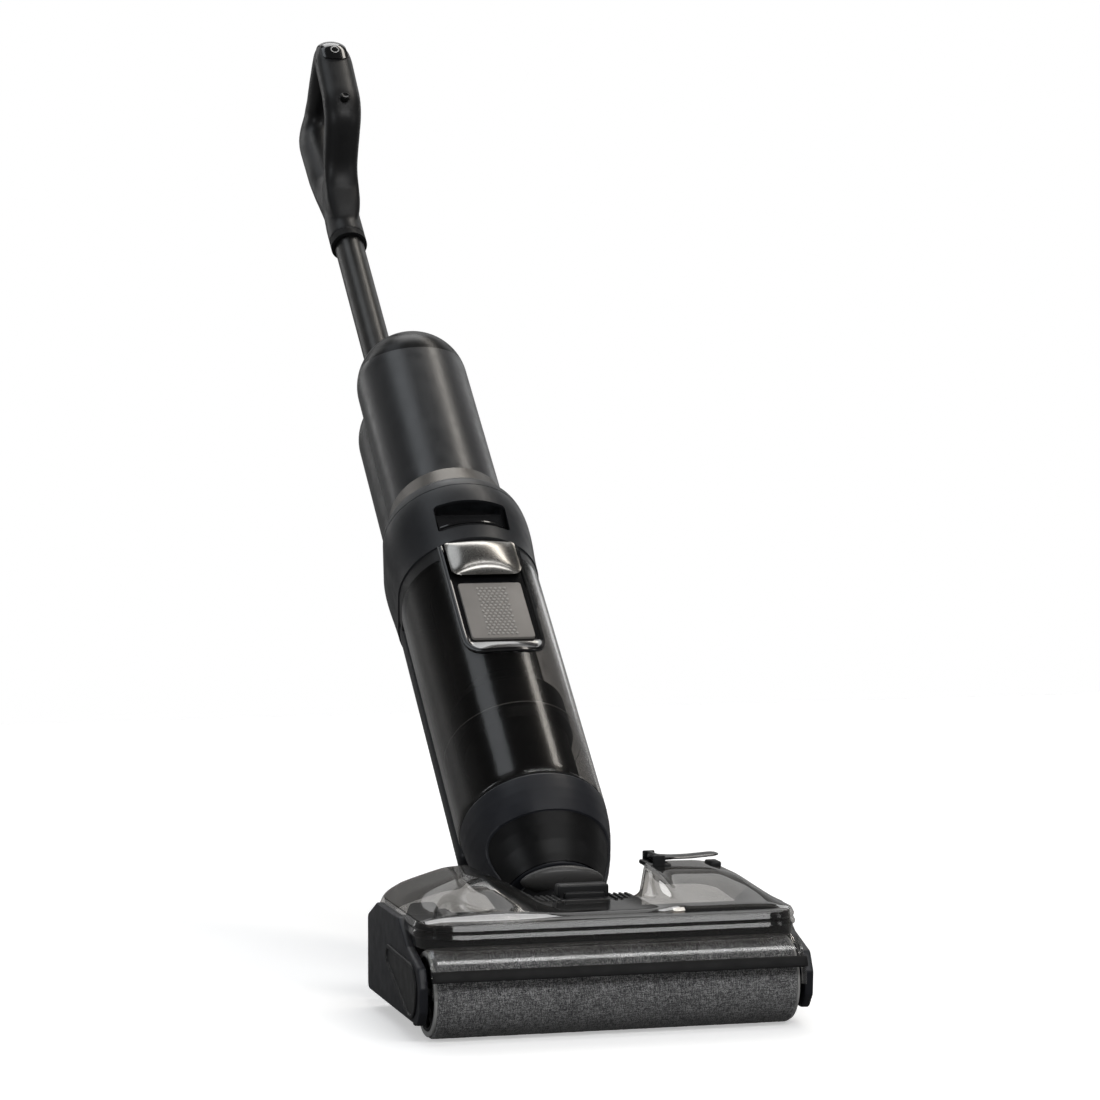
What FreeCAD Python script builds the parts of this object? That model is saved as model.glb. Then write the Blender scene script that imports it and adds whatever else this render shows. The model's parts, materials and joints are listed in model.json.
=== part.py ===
import FreeCAD, Part
import math
import os

import Sketcher

# Wet dry floor scrubber: a roller head on the floor and a slim upright body that leans back from it.
#
# Row frame, millimetres: +X to the machine's right, +Y to its rear, +Z up. The origin is the middle of
# the floor scraper's flat sole. The head's pieces are drawn in the row frame. The upright's pieces are
# drawn in a frame of their own, +Z along the body, +Y to its rear, and placed leaning back by "lean".

Vector = FreeCAD.Vector
Rotation = FreeCAD.Rotation

# alias, value in millimetres (angles in degrees)
DIMENSIONS = [
    # how the two frames meet
    ("lean", 51.3), ("pivot_y", 72), ("pivot_z", 52), ("pivot_drop", 13.1),
    # roller
    ("roller_y", -50), ("roller_radius", 30), ("roller_half", 124.3), ("core_radius", 18),
    ("core_bore", 15), ("core_half", 122), ("journal_radius", 4), ("journal_end", 133.5),
    ("plug_disc_radius", 24), ("plug_disc_end", 126), ("plug_depth", 12),
    # side walls and what sits in them
    ("head_half", 130), ("wall_thick", 6), ("bearing_radius", 7), ("bearing_depth", 4.5),
    ("ear_radius", 19), ("ear_tip_radius", 8), ("ear_length", 64), ("ear_rise", 13), ("ear_thick", 1.5),
    ("ear_z", 33),
    # chassis
    ("floor_low", 10), ("sheet_thick", 2.5), ("tray_front", -16), ("tray_back", 82), ("tray_top", 62),
    ("bay_half", 43.5), ("bay_front", -5), ("bay_wall_top", 50), ("boss_radius", 13), ("boss_inner", 35),
    ("arm_outer", 56), ("arm_start", 60), ("arm_end", 224), ("arm_low", 14), ("arm_high", 42),
    ("mouth_half", 22), ("mouth_low", 18), ("mouth_high", 42), ("duct_wall", 2), ("duct_gap", 0.5),
    ("duct_end", 34), ("fit_gap", 0.05), ("run_gap", 0.3),
    ("ballast_gap", 2), ("ballast_thick", 13),
    ("scraper_half", 122), ("scraper_half_depth", 3),
    ("screw_x", 100), ("screw_front", 14), ("screw_back", 66), ("screw_radius", 3.5), ("screw_head", 1.6),
    ("wiper_half", 120), ("wiper_low", 34), ("wiper_high", 37),
    ("spray_half", 112), ("spray_depth", 9), ("spray_height", 7), ("nozzle_radius", 2),
    ("nozzle_pitch", 44), ("nozzle_drop", 5),
    ("trim_half", 37), ("trim_back", 24), ("trim_high", 80), ("trim_block_half", 18),
    ("trim_block_front", 12), ("trim_block_top", 89),
    ("pin_radius", 6), ("pin_inner", 20), ("pin_outer", 50),
    # wheels
    ("wheel_y", 205), ("wheel_radius", 25), ("hub_radius", 19), ("wheel_inner", 58), ("wheel_outer", 76),
    ("axle_radius", 4), ("axle_outer", 80), ("axle_head", 7), ("axle_head_thick", 2.5),
    # brush motor and belt
    ("motor_y", 30), ("motor_z", 42), ("motor_radius", 15), ("motor_inner", 55), ("motor_outer", 112),
    ("belt_inner", 125), ("belt_outer", 129), ("roller_pulley", 16), ("motor_pulley", 8),
    ("motor_shaft", 2.5), ("belt_thick", 1.5), ("cradle_half", 9),
    # cover
    ("cover_half", 133), ("deck_low", 77.5), ("deck_thick", 2.5), ("deck_front", -66), ("deck_back", 75),
    ("rim_front", -70), ("rim_low", 59.5), ("wrap_inner", 35), ("wrap_outer", 37.5), ("wrap_half", 128),
    ("wrap_low", 43), ("wrap_back", -68), ("strip_top", 50), ("strip_thick", 1.4),
    ("notch_front", -5), ("notch_narrow", 38), ("notch_wide", 68),
    ("hump_out", 128), ("hump_in", 44), ("hump_front", -46), ("hump_top_front", 52),
    ("left_hump_top", 95), ("right_hump_top", 94.2), ("hump_top_in", 58), ("hump_top_out", 98),
    ("hump_lap", 3), ("hump_wall", 2), ("rim_step", 1), ("notch_high", 107),
    ("latch_in", 60), ("latch_out", 112), ("latch_low", 96.5), ("latch_thick", 4.5), ("latch_front", 50),
    ("latch_back", 73), ("latch_hinge", 2.7),
    # neck, in the upright's frame
    ("knuckle_radius", 20), ("knuckle_half", 34), ("stem_radius", 27), ("stem_low", -8), ("stem_top", 10),
    ("stem_bore", 16),
    ("swivel_inner", 19), ("swivel_top", 12),
    ("cap_half", 30), ("cap_depth", 13), ("cap_height", 7.5), ("cap_back", -27), ("cap_middle", 4),
    # lower housing
    ("housing_low", 12.3), ("housing_top", 83.5), ("shell_thick", 2.5), ("housing_hole", 18.5),
    ("panel_half", 40), ("panel_top", 50), ("panel_low", 15), ("panel_proud", 1.1), ("skin_gap", 0.1),
    ("cell_radius", 9.2), ("cell_length", 46), ("cell_pitch", 20), ("cell_low", 34),
    # body section: a front circle and a smaller rear circle joined by straight sides
    ("body_front", 53.6), ("body_rear", 48.5), ("body_depth", 35), ("tank_seam", 30),
    ("tank_low", 84.3), ("tank_split", 318), ("tank_top", 329.7), ("tank_thick", 2.2), ("lid_wall", 3.3),
    ("spine_low", 84.2),
    ("pump_half", 18), ("pump_front", 38), ("pump_back", 64), ("pump_low", 100), ("pump_top", 135),
    # window, release button and grip plate on the tank's front
    ("bezel_half", 31.5), ("bezel_low", 208), ("bezel_proud", 1.7), ("window_half", 27.5),
    ("window_low", 214), ("recess_back", -45.5), ("recess_wall", 1.8), ("plate_half", 24),
    ("plate_low", 220), ("plate_top", 287), ("plate_thick", 2.2), ("button_half", 27.1),
    ("button_low", 294), ("button_radius", 57.2), ("button_back", -49.8),
    # separator and float inside the tank
    ("sep_y", -7), ("sep_wall", 2), ("sep_back", 26), ("float_radius", 9), ("float_low", 150),
    ("float_height", 18), ("float_x", 14), ("float_y", -18),
    # collar
    ("collar_low", 330.2), ("collar_mid", 378), ("collar_top", 402), ("collar_low_front", 54.5),
    ("collar_mid_front", 57), ("collar_top_front", 50), ("collar_low_rear", 49.5),
    ("collar_mid_rear", 51.5), ("collar_top_rear", 45), ("collar_wall", 3), ("collar_floor", 3),
    ("slot_half", 28), ("slot_low", 343), ("slot_top", 370), ("slot_back", -40), ("slot_wall", 1.8),
    # barrel
    ("barrel_radius", 44.7), ("barrel_low", 402.3), ("dome_centre", 570), ("cap_front", 566),
    ("cap_slope", 25), ("band_top", 420), ("band_foot", 50), ("band_back", 13), ("band_lap", 0.3),
    ("motor_case", 36), ("motor_case_low", 425), ("motor_case_top", 505), ("motor_case_wall", 3),
    ("motor_core", 12), ("fan_radius", 36), ("fan_low", 506), ("fan_top", 520), ("fan_hub", 8),
    ("fan_disc", 2), ("blade_thick", 1.6), ("blade_inset", 4),
    ("board_half", 24), ("board_low", 528), ("board_top", 590), ("board_thick", 2),
    # clean water tank
    ("clean_radius", 43), ("clean_low", 402.5), ("clean_dome", 545), ("clean_wall", 2.2),
    ("clean_gap", 0.5), ("fill_x", -22), ("fill_z", 520), ("fill_radius", 9), ("fill_front", 62),
    ("fill_back", 75.5),
    # tube and handle
    ("tube_y", 61), ("tube_radius", 12.5), ("tube_bore", 11.3), ("tube_low", 331), ("tube_top", 870),
    ("mount_half", 18), ("mount_front", 47), ("mount_back", 71), ("mount_top", 398),
    ("ring_low", 829), ("ring_top", 836), ("ring_radius", 15.6), ("grip_half", 16.5), ("grip_wall", 2.6),
    ("panel_width", 12), ("panel_length", 36), ("panel_thick", 1.5), ("panel_tilt", 13.2),
    ("panel_front", -27), ("panel_height", 1005.6), ("power_radius", 7), ("power_middle", 20),
    ("power_low", 0.9), ("power_proud", 0.6),
    ("mode_radius", 4), ("mode_height", 921), ("mode_face", -32.3), ("mode_back", -28.4), ("tool_reach", 9),
    ("trigger_half", 7), ("trigger_low", 952), ("trigger_top", 976), ("trigger_front", -12),
    ("trigger_back", -4), ("trigger_gap", 0.4),
]

# Outlines, as points in millimetres: (rear, up) for the side wall and the handle.
OUTLINES = {
    "side_wall": [(82, 12), (82, 64), (54, 76), (-12, 76), (-38, 60), (-70, 51), (-77, 38), (-76, 22),
                  (-68, 12)],
    "grip_outside": [(76, 836.3), (75, 905), (80, 1012), (70, 1028), (-28, 1005), (-38, 992), (-31, 920),
                     (-22, 909), (40, 880), (46, 866), (46, 836.3)],
    "grip_opening": [(51, 902), (57, 1001), (-14, 984), (-8, 930)],
    # lower housing and separator: (radius, height)
    "housing": [(36, 12.3), (44, 30), (50, 52), (53, 70), (53.6, 83.5)],
    "separator": [(39, 88), (39, 148), (43, 155), (43, 185), (39, 192), (33, 202), (33, 316)],
}

doc = FreeCAD.newDocument("floor_scrubber")
sheet = doc.addObject("Spreadsheet::Sheet", "dims")
finished = []


# ---------------------------------------------------------------- sizes and the spreadsheet

class Size:
    """A number together with the spreadsheet formula that gives it."""

    def __init__(self, value, formula):
        self.value = value
        self.formula = formula

    def __add__(self, other):
        other = as_size(other)
        return Size(self.value + other.value, f"({self.formula} + {other.formula})")

    def __neg__(self):
        return Size(-self.value, f"(0 - {self.formula})")

    def __sub__(self, other):
        other = as_size(other)
        return Size(self.value - other.value, f"({self.formula} - {other.formula})")

    def __mul__(self, other):
        other = as_size(other)
        return Size(self.value * other.value, f"({self.formula} * {other.formula})")


def as_size(number):
    if isinstance(number, Size):
        return number
    return Size(float(number), f"({float(number)})")


def add_row(alias, number):
    row = len(sizes) + 1
    sheet.set(f"A{row}", alias)
    sheet.set(f"B{row}", str(number))
    sheet.setAlias(f"B{row}", alias)
    sizes[alias] = Size(float(number), f"dims.{alias}")


sizes = {}
for alias, number in DIMENSIONS:
    add_row(alias, number)
for outline_name, points in OUTLINES.items():
    for order, (across, up) in enumerate(points, start=1):
        add_row(f"{outline_name}_across_{order}", across)
        add_row(f"{outline_name}_up_{order}", up)
doc.recompute()


def dim(alias):
    return sizes[alias]


def outline(name):
    count = len(OUTLINES[name])
    return [(dim(f"{name}_across_{order}"), dim(f"{name}_up_{order}")) for order in range(1, count + 1)]


def both_ways(size):
    return (-as_size(size), as_size(size))


def bind(target, path, size):
    target.setExpression(path, as_size(size).formula)


# ---------------------------------------------------------------- primitives and booleans

def new_name(kind):
    return f"{kind}_{len(doc.Objects)}"


def place(target, at, rotation=None):
    target.Placement = FreeCAD.Placement(Vector(), rotation or Rotation())
    for letter, size in zip("xyz", at):
        bind(target, f"Placement.Base.{letter}", size)


def block(x, y, z):
    made = doc.addObject("Part::Box", new_name("block"))
    for path, (low, high) in (("Length", x), ("Width", y), ("Height", z)):
        bind(made, path, as_size(high) - low)
    place(made, (x[0], y[0], z[0]))
    return made


TURN_TO = {"x": Rotation(Vector(0, 1, 0), 90), "y": Rotation(Vector(1, 0, 0), -90), "z": Rotation()}


def rod(axis, radius, span, middle):
    """A cylinder along an axis, from span[0] to span[1], centred on the other two coordinates."""
    made = doc.addObject("Part::Cylinder", new_name("rod"))
    bind(made, "Radius", radius)
    bind(made, "Height", as_size(span[1]) - span[0])
    at = list(middle)
    at.insert("xyz".index(axis), span[0])
    place(made, at, TURN_TO[axis])
    return made


def ball(radius, at):
    made = doc.addObject("Part::Sphere", new_name("ball"))
    bind(made, "Radius", radius)
    place(made, at)
    return made


def join(*shapes):
    made = doc.addObject("Part::MultiFuse", new_name("join"))
    made.Shapes = list(shapes)
    return made


def cut(base, *tools):
    made = doc.addObject("Part::Cut", new_name("cut"))
    made.Base = base
    made.Tool = tools[0] if len(tools) == 1 else join(*tools)
    return made


def overlap(first, second):
    made = doc.addObject("Part::Common", new_name("overlap"))
    made.Base = first
    made.Tool = second
    return made


def tube(axis, outer, inner, span, middle):
    return cut(rod(axis, outer, span, middle), rod(axis, inner, span, middle))


def group(*shapes):
    made = doc.addObject("Part::Compound", new_name("group"))
    made.Links = list(shapes)
    return made


def mirrored(maker):
    """The same piece on the right (+1) and the left (-1) side."""
    return [maker(side) for side in (1, -1)]


def side_span(side, inner, outer):
    """The X span from inner to outer on one side of the machine."""
    if side > 0:
        return (as_size(inner), as_size(outer))
    return (-as_size(outer), -as_size(inner))


# ---------------------------------------------------------------- sketches and PartDesign bodies

def new_body(kind):
    return doc.addObject("PartDesign::Body", new_name(kind))


def new_sketch(body, role, lift=None):
    sketch = body.newObject("Sketcher::SketchObject", new_name("sketch"))
    plane = [item for item in body.Origin.OriginFeatures if item.Role == role][0]
    sketch.AttachmentSupport = [(plane, "")]
    sketch.MapMode = "FlatFace"
    if lift is not None:
        bind(sketch, "AttachmentOffset.Base.z", lift)
    return sketch


def bound(sketch, size, *constraint):
    """Add one dimension constraint and bind it to the sheet."""
    index = sketch.addConstraint(Sketcher.Constraint(*constraint, size.value))
    bind(sketch, f"Constraints[{index}]", size)


def draw_polygon(sketch, points):
    count = len(points)
    for index in range(count):
        start, stop = points[index], points[(index + 1) % count]
        sketch.addGeometry(Part.LineSegment(Vector(start[0].value, start[1].value, 0),
                                            Vector(stop[0].value, stop[1].value, 0)))
    for index in range(count):
        sketch.addConstraint(Sketcher.Constraint("Coincident", index, 2, (index + 1) % count, 1))
    for index, (across, up) in enumerate(points):
        bound(sketch, across, "DistanceX", -1, 1, index, 1)
        bound(sketch, up, "DistanceY", -1, 1, index, 1)


def draw_egg(sketch, front, rear, spacing):
    """A circle at the origin and a smaller one behind it, joined by their two outer tangents."""
    lean_in = math.asin((front.value - rear.value) / spacing.value)
    quarter = math.pi / 2
    axis = Vector(0, 0, 1)
    rear_middle = Vector(0, spacing.value, 0)

    def on_circle(middle, radius, angle):
        return middle + Vector(math.cos(angle), math.sin(angle), 0) * radius.value

    sketch.addGeometry(Part.ArcOfCircle(Part.Circle(Vector(), axis, front.value),
                                        2 * quarter - lean_in, 4 * quarter + lean_in))
    sketch.addGeometry(Part.LineSegment(on_circle(Vector(), front, lean_in),
                                        on_circle(rear_middle, rear, lean_in)))
    sketch.addGeometry(Part.ArcOfCircle(Part.Circle(rear_middle, axis, rear.value),
                                        lean_in, 2 * quarter - lean_in))
    sketch.addGeometry(Part.LineSegment(on_circle(rear_middle, rear, 2 * quarter - lean_in),
                                        on_circle(Vector(), front, 2 * quarter - lean_in)))
    for first, first_end, second, second_end in ((0, 2, 1, 1), (1, 2, 2, 1), (2, 2, 3, 1), (3, 2, 0, 1)):
        sketch.addConstraint(Sketcher.Constraint("Tangent", first, first_end, second, second_end))
    sketch.addConstraint(Sketcher.Constraint("Coincident", 0, 3, -1, 1))
    sketch.addConstraint(Sketcher.Constraint("PointOnObject", 2, 3, -2))
    bound(sketch, spacing, "DistanceY", -1, 1, 2, 3)
    bound(sketch, front, "Radius", 0)
    bound(sketch, rear, "Radius", 2)


def padded(role, points, span):
    """A polygon on an origin plane, padded from span[0] to span[1] along the plane's normal."""
    body = new_body("plate")
    sketch = new_sketch(body, role, span[0])
    draw_polygon(sketch, points)
    pad = body.newObject("PartDesign::Pad", new_name("pad"))
    pad.Profile = sketch
    bind(pad, "Length", as_size(span[1]) - span[0])
    return body


def egg(front, rear, spacing, span):
    body = new_body("egg")
    sketch = new_sketch(body, "XY_Plane", span[0])
    draw_egg(sketch, front, rear, spacing)
    pad = body.newObject("PartDesign::Pad", new_name("pad"))
    pad.Profile = sketch
    bind(pad, "Length", as_size(span[1]) - span[0])
    return body


def egg_loft(spacing, sections):
    """A ruled loft through egg sections, each (front radius, rear radius, height)."""
    body = new_body("loft")
    sketches = []
    for front, rear, height in sections:
        sketch = new_sketch(body, "XY_Plane", height)
        draw_egg(sketch, front, rear, spacing)
        sketches.append(sketch)
    loft = body.newObject("PartDesign::AdditiveLoft", new_name("sections"))
    loft.Profile = sketches[0]
    loft.Sections = sketches[1:]
    loft.Ruled = True
    return body


def turned(points):
    """A closed (radius, height) polygon turned once round the Z axis."""
    body = new_body("turned")
    sketch = new_sketch(body, "XZ_Plane")
    draw_polygon(sketch, points)
    spin = body.newObject("PartDesign::Revolution", new_name("spin"))
    spin.Profile = sketch
    spin.ReferenceAxis = (sketch, ["V_Axis"])
    spin.Angle = 360
    return body


def pulled(points, span):
    """An outline in the rear/up plane, pulled along X."""
    return padded("YZ_Plane", points, span)


def pulled_offset(points, span, offset):
    """As pulled, with the outline's edge moved outward by offset, or inward where it is negative."""
    corners = [Vector(span[0].value, across.value, up.value) for across, up in points]
    face = Part.Face(Part.makePolygon([*corners, corners[0]]))
    sharp_corners = 2
    moved = face.makeOffset2D(offset.value, join=sharp_corners)
    made = doc.addObject("Part::Feature", new_name("offset"))
    made.Shape = moved.extrude(Vector(span[1].value - span[0].value, 0, 0))
    return made


# ---------------------------------------------------------------- finishing a piece

def sine(angle):
    return Size(math.sin(math.radians(angle.value)), f"sin({angle.formula} * 1 deg)")


def cosine(angle):
    return Size(math.cos(math.radians(angle.value)), f"cos({angle.formula} * 1 deg)")


def finish(label, made, upright=False):
    """Give a piece its label, and lean it back if it belongs to the upright."""
    if made.TypeId != "PartDesign::Body":
        refined = doc.addObject("Part::Refine", new_name("piece"))
        refined.Source = made
        made = refined
    made.Label = label
    if upright:
        lean = dim("lean")
        made.Placement = FreeCAD.Placement(Vector(), Rotation(Vector(-1, 0, 0), lean.value))
        bind(made, "Placement.Rotation.Angle", lean)
        bind(made, "Placement.Base.y", dim("pivot_y") + dim("pivot_drop") * sine(lean))
        bind(made, "Placement.Base.z", dim("pivot_z") + dim("pivot_drop") * cosine(lean))
    finished.append(made)


ROLLER = (dim("roller_y"), dim("roller_radius"))
PIVOT = (dim("pivot_y"), dim("pivot_z"))
WHEEL = (dim("wheel_y"), dim("wheel_radius"))
MOTOR = (dim("motor_y"), dim("motor_z"))
CENTRE = (0, 0)
FLOOR_TOP = dim("floor_low") + dim("sheet_thick")
DECK_TOP = dim("deck_low") + dim("deck_thick")
WALL_OUTER = dim("head_half") + dim("wall_thick")
FAR = dim("body_front") * 2  # past every side of the upright's body
BLADES = 9


# ---------------------------------------------------------------- head

def make_chassis():
    sheet_thick = dim("sheet_thick")
    bay_outer = dim("bay_half") + sheet_thick
    whole = both_ways(dim("head_half"))
    tray = (dim("tray_front"), dim("tray_back"))
    walls = (FLOOR_TOP - 1, dim("tray_top"))

    def one_side(side):
        return join(
            block(side_span(side, dim("bay_half"), bay_outer), (dim("bay_front"), dim("tray_back")), walls),
            block(side_span(side, bay_outer - 1, dim("head_half")),
                  (dim("tray_back") - sheet_thick, dim("tray_back")), walls),
            block(side_span(side, bay_outer, dim("arm_outer")), (dim("arm_start"), dim("arm_end")),
                  (dim("arm_low"), dim("arm_high"))),
            rod("x", dim("boss_radius"), side_span(side, dim("boss_inner"), dim("pin_outer")), PIVOT),
        )

    solid = join(
        block(whole, tray, (dim("floor_low"), FLOOR_TOP)),
        block(whole, (dim("tray_front"), dim("tray_front") + sheet_thick), walls),
        block(both_ways(bay_outer), (dim("bay_front") - sheet_thick, dim("bay_front")),
              (FLOOR_TOP - 1, dim("bay_wall_top"))),
        block((dim("motor_inner"), dim("motor_outer")),
              (dim("motor_y") - dim("cradle_half"), dim("motor_y") + dim("cradle_half")),
              (FLOOR_TOP - 1, dim("motor_z"))),
        *mirrored(one_side),
    )
    mouth = block(both_ways(dim("mouth_half")), (dim("tray_front") - 1, dim("bay_front") + 1),
                  (dim("mouth_low"), dim("mouth_high")))
    belt_gap = block((dim("belt_inner") - 1, dim("head_half") + 1),
                     (dim("tray_front") - 1, dim("tray_front") + sheet_thick + 1),
                     (dim("mouth_low"), dim("tray_top") + 1))
    holes = [rod("x", dim("pin_radius"), both_ways(dim("arm_outer") + 1), PIVOT),
             rod("x", dim("axle_radius"), both_ways(dim("arm_outer") + 1), WHEEL),
             rod("x", dim("motor_radius"), (dim("motor_inner") - 1, dim("motor_outer") + 1), MOTOR)]
    finish("head_chassis", cut(solid, mouth, belt_gap, *holes))


def make_ballast():
    gap = dim("ballast_gap")
    bay_outer = dim("bay_half") + dim("sheet_thick")
    front = dim("tray_front") + dim("sheet_thick") + gap
    level = (FLOOR_TOP, FLOOR_TOP + dim("ballast_thick"))

    def plate(side):
        return block(side_span(side, dim("arm_outer") + gap, dim("belt_inner") - gap),
                     (front, dim("tray_back") - dim("sheet_thick") - gap), level)

    inner = [block(side_span(side, bay_outer + gap, dim("arm_outer") + gap),
                   (front, dim("motor_y") - dim("cradle_half") - gap), level) for side in (1, -1)]
    cradle = block((dim("motor_inner") - gap, dim("motor_outer") + gap),
                   (dim("motor_y") - dim("cradle_half") - gap, dim("motor_y") + dim("cradle_half") + gap),
                   (FLOOR_TOP - 1, dim("motor_z")))
    finish("ballast_plates", cut(join(*mirrored(plate), *inner), cradle))


def make_small_head_pieces():
    scraper = block(both_ways(dim("scraper_half")), both_ways(dim("scraper_half_depth")),
                    (0, dim("floor_low")))
    finish("floor_scraper", scraper)
    heads = [rod("z", dim("screw_radius"), (dim("floor_low") - dim("screw_head"), dim("floor_low")),
                 (dim("screw_x") * side, dim(end)))
             for side in (1, -1) for end in ("screw_front", "screw_back")]
    finish("chassis_screws", group(*heads))
    finish("wiper_bar", block(both_ways(dim("wiper_half")),
                              (dim("roller_y") + dim("roller_radius") + dim("run_gap"), dim("tray_front")),
                              (dim("wiper_low"), dim("wiper_high"))))
    spray_back = dim("tray_front") + dim("sheet_thick")
    spray_low = dim("tray_top")
    spray_front = spray_back - dim("spray_depth")
    nozzles = [rod("z", dim("nozzle_radius"), (spray_low - dim("nozzle_drop"), spray_low + 1),
                   (dim("nozzle_pitch") * step, spray_front + dim("nozzle_radius")))
               for step in (-2, -1, 0, 1, 2)]
    rail = block(both_ways(dim("spray_half")), (spray_front, spray_back),
                 (spray_low, spray_low + dim("spray_height")))
    finish("spray_bar", join(rail, *nozzles))
    gap = dim("duct_gap")
    duct_wall = dim("duct_wall")
    outside = dim("mouth_half") - gap
    low, high = dim("mouth_low") + gap, dim("mouth_high") - gap
    finish("suction_duct", cut(
        block(both_ways(outside), (dim("tray_front"), dim("duct_end")), (low, high)),
        block(both_ways(outside - duct_wall), (dim("tray_front") - 1, dim("duct_end") - duct_wall),
              (low + duct_wall, high - duct_wall))))

    def pin(side):
        return rod("x", dim("pin_radius"), side_span(side, dim("pin_inner"), dim("pin_outer")), PIVOT)

    finish("pivot_pins", group(*mirrored(pin)))
    trim_front = dim("notch_front") + 1
    trim = join(
        block(both_ways(dim("trim_half")), (trim_front, dim("trim_back")),
              (dim("trim_high") - dim("sheet_thick"), dim("trim_high"))),
        block(both_ways(dim("trim_half")), (trim_front, trim_front + dim("sheet_thick")),
              (dim("bay_wall_top"), dim("trim_high"))),
        block(both_ways(dim("trim_block_half")), (dim("trim_block_front"), dim("trim_back")),
              (dim("trim_high") - 1, dim("trim_block_top"))))
    finish("neck_trim", trim)


def make_side_walls():
    seat = dim("bearing_depth")
    half = dim("head_half")
    for side, name in ((1, "right"), (-1, "left")):
        plate = pulled(outline("side_wall"), side_span(side, half, WALL_OUTER))
        hole = rod("x", dim("bearing_radius"), side_span(side, half - 1, half + seat), ROLLER)
        finish(f"side_wall_{name}", cut(plate, hole))

    def bearing(side):
        return tube("x", dim("bearing_radius"), dim("journal_radius") + dim("fit_gap"),
                    side_span(side, half, half + seat), ROLLER)

    finish("roller_bearings", group(*mirrored(bearing)))


def make_end_caps():
    """Raised oval caps over the roller's two ends, wide at the roller and narrow towards the rear."""
    ears = []
    for side in (1, -1):
        ear = egg(dim("ear_radius"), dim("ear_tip_radius"), dim("ear_length"), (0, dim("ear_thick")))
        tilt = math.degrees(math.atan2(dim("ear_rise").value, dim("ear_length").value))
        start = side_span(side, WALL_OUTER, WALL_OUTER + dim("ear_thick"))[0]
        place(ear, (start, dim("roller_y"), dim("ear_z")),
              Rotation(Vector(1, 0, 0), tilt).multiply(Rotation(Vector(0, 1, 0), 90)))
        ears.append(ear)
    finish("roller_end_caps", group(*ears))


def make_roller():
    finish("roller_core", tube("x", dim("core_radius"), dim("core_bore"),
                               both_ways(dim("core_half")), ROLLER))
    finish("roller_fabric", tube("x", dim("roller_radius"), dim("core_radius"),
                                 both_ways(dim("roller_half")), ROLLER))
    inside = dim("core_half") - dim("plug_depth")
    disc_span = side_span(-1, dim("roller_half"), dim("plug_disc_end"))
    plug = join(rod("x", dim("core_bore"), side_span(-1, inside, dim("roller_half")), ROLLER),
                rod("x", dim("plug_disc_radius"), disc_span, ROLLER),
                rod("x", dim("journal_radius"), side_span(-1, dim("core_half"), dim("journal_end")), ROLLER))
    finish("roller_end_plug", plug)
    drive = join(rod("x", dim("core_bore"), (inside, dim("belt_inner")), ROLLER),
                 rod("x", dim("roller_pulley"), (dim("belt_inner"), dim("belt_outer")), ROLLER),
                 rod("x", dim("journal_radius"), (dim("core_half"), dim("journal_end")), ROLLER))
    finish("roller_pulley", drive)


def make_brush_motor():
    finish("brush_motor", rod("x", dim("motor_radius"), (dim("motor_inner"), dim("motor_outer")), MOTOR))
    finish("motor_pulley", join(
        rod("x", dim("motor_pulley"), (dim("belt_inner"), dim("belt_outer")), MOTOR),
        rod("x", dim("motor_shaft"), (dim("motor_outer") + dim("run_gap"), dim("belt_outer")), MOTOR)))
    run_y = dim("motor_y") - dim("roller_y")
    run_z = dim("motor_z") - dim("roller_radius")
    tilt = math.degrees(math.atan2(run_z.value, run_y.value))
    reach = math.hypot(run_y.value, run_z.value)
    inside = (dim("roller_pulley") + dim("run_gap"), dim("motor_pulley") + dim("run_gap"))
    width = (0, dim("belt_outer") - dim("belt_inner"))
    belt = cut(egg(inside[0] + dim("belt_thick"), inside[1] + dim("belt_thick"), as_size(reach), width),
               egg(inside[0], inside[1], as_size(reach), width))
    place(belt, (dim("belt_inner"), dim("roller_y"), dim("roller_radius")),
          Rotation(Vector(1, 0, 0), tilt).multiply(Rotation(Vector(0, 1, 0), 90)))
    finish("drive_belt", belt)


def make_wheels():
    for side, name in ((1, "right"), (-1, "left")):
        span = side_span(side, dim("wheel_inner"), dim("wheel_outer"))
        bore = dim("axle_radius") + dim("fit_gap")
        finish(f"wheel_hub_{name}", tube("x", dim("hub_radius"), bore, span, WHEEL))
        finish(f"tyre_{name}", tube("x", dim("wheel_radius"), dim("hub_radius"), span, WHEEL))

    def axle(side):
        inner = dim("bay_half") + dim("sheet_thick")
        head = dim("wheel_outer") + 1
        return join(rod("x", dim("axle_radius"), side_span(side, inner, dim("axle_outer")), WHEEL),
                    rod("x", dim("axle_head"), side_span(side, head, head + dim("axle_head_thick")), WHEEL))

    finish("wheel_axles", group(*mirrored(axle)))


def hump(side, top, shrink):
    """A solid that rises towards the rear, on one side of the deck; shrink gives the hollow's solid."""
    made = doc.addObject("Part::Wedge", new_name("hump"))
    low_x = side_span(side, dim("hump_in") + shrink, dim("hump_out") - shrink)
    high_x = side_span(side, dim("hump_top_in") + shrink, dim("hump_top_out") - shrink)
    low_z = (-(dim("deck_back") - shrink), -(dim("hump_front") + shrink))
    high_z = (-(dim("deck_back") - shrink), -(dim("hump_top_front") + shrink))
    for path, size in (("Xmin", low_x[0]), ("Xmax", low_x[1]), ("X2min", high_x[0]), ("X2max", high_x[1]),
                       ("Zmin", low_z[0]), ("Zmax", low_z[1]), ("Z2min", high_z[0]), ("Z2max", high_z[1]),
                       ("Ymin", DECK_TOP - dim("hump_lap")), ("Ymax", top - shrink)):
        bind(made, path, size)
    made.Placement = FreeCAD.Placement(Vector(), Rotation(Vector(1, 0, 0), 90))
    return made


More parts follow.
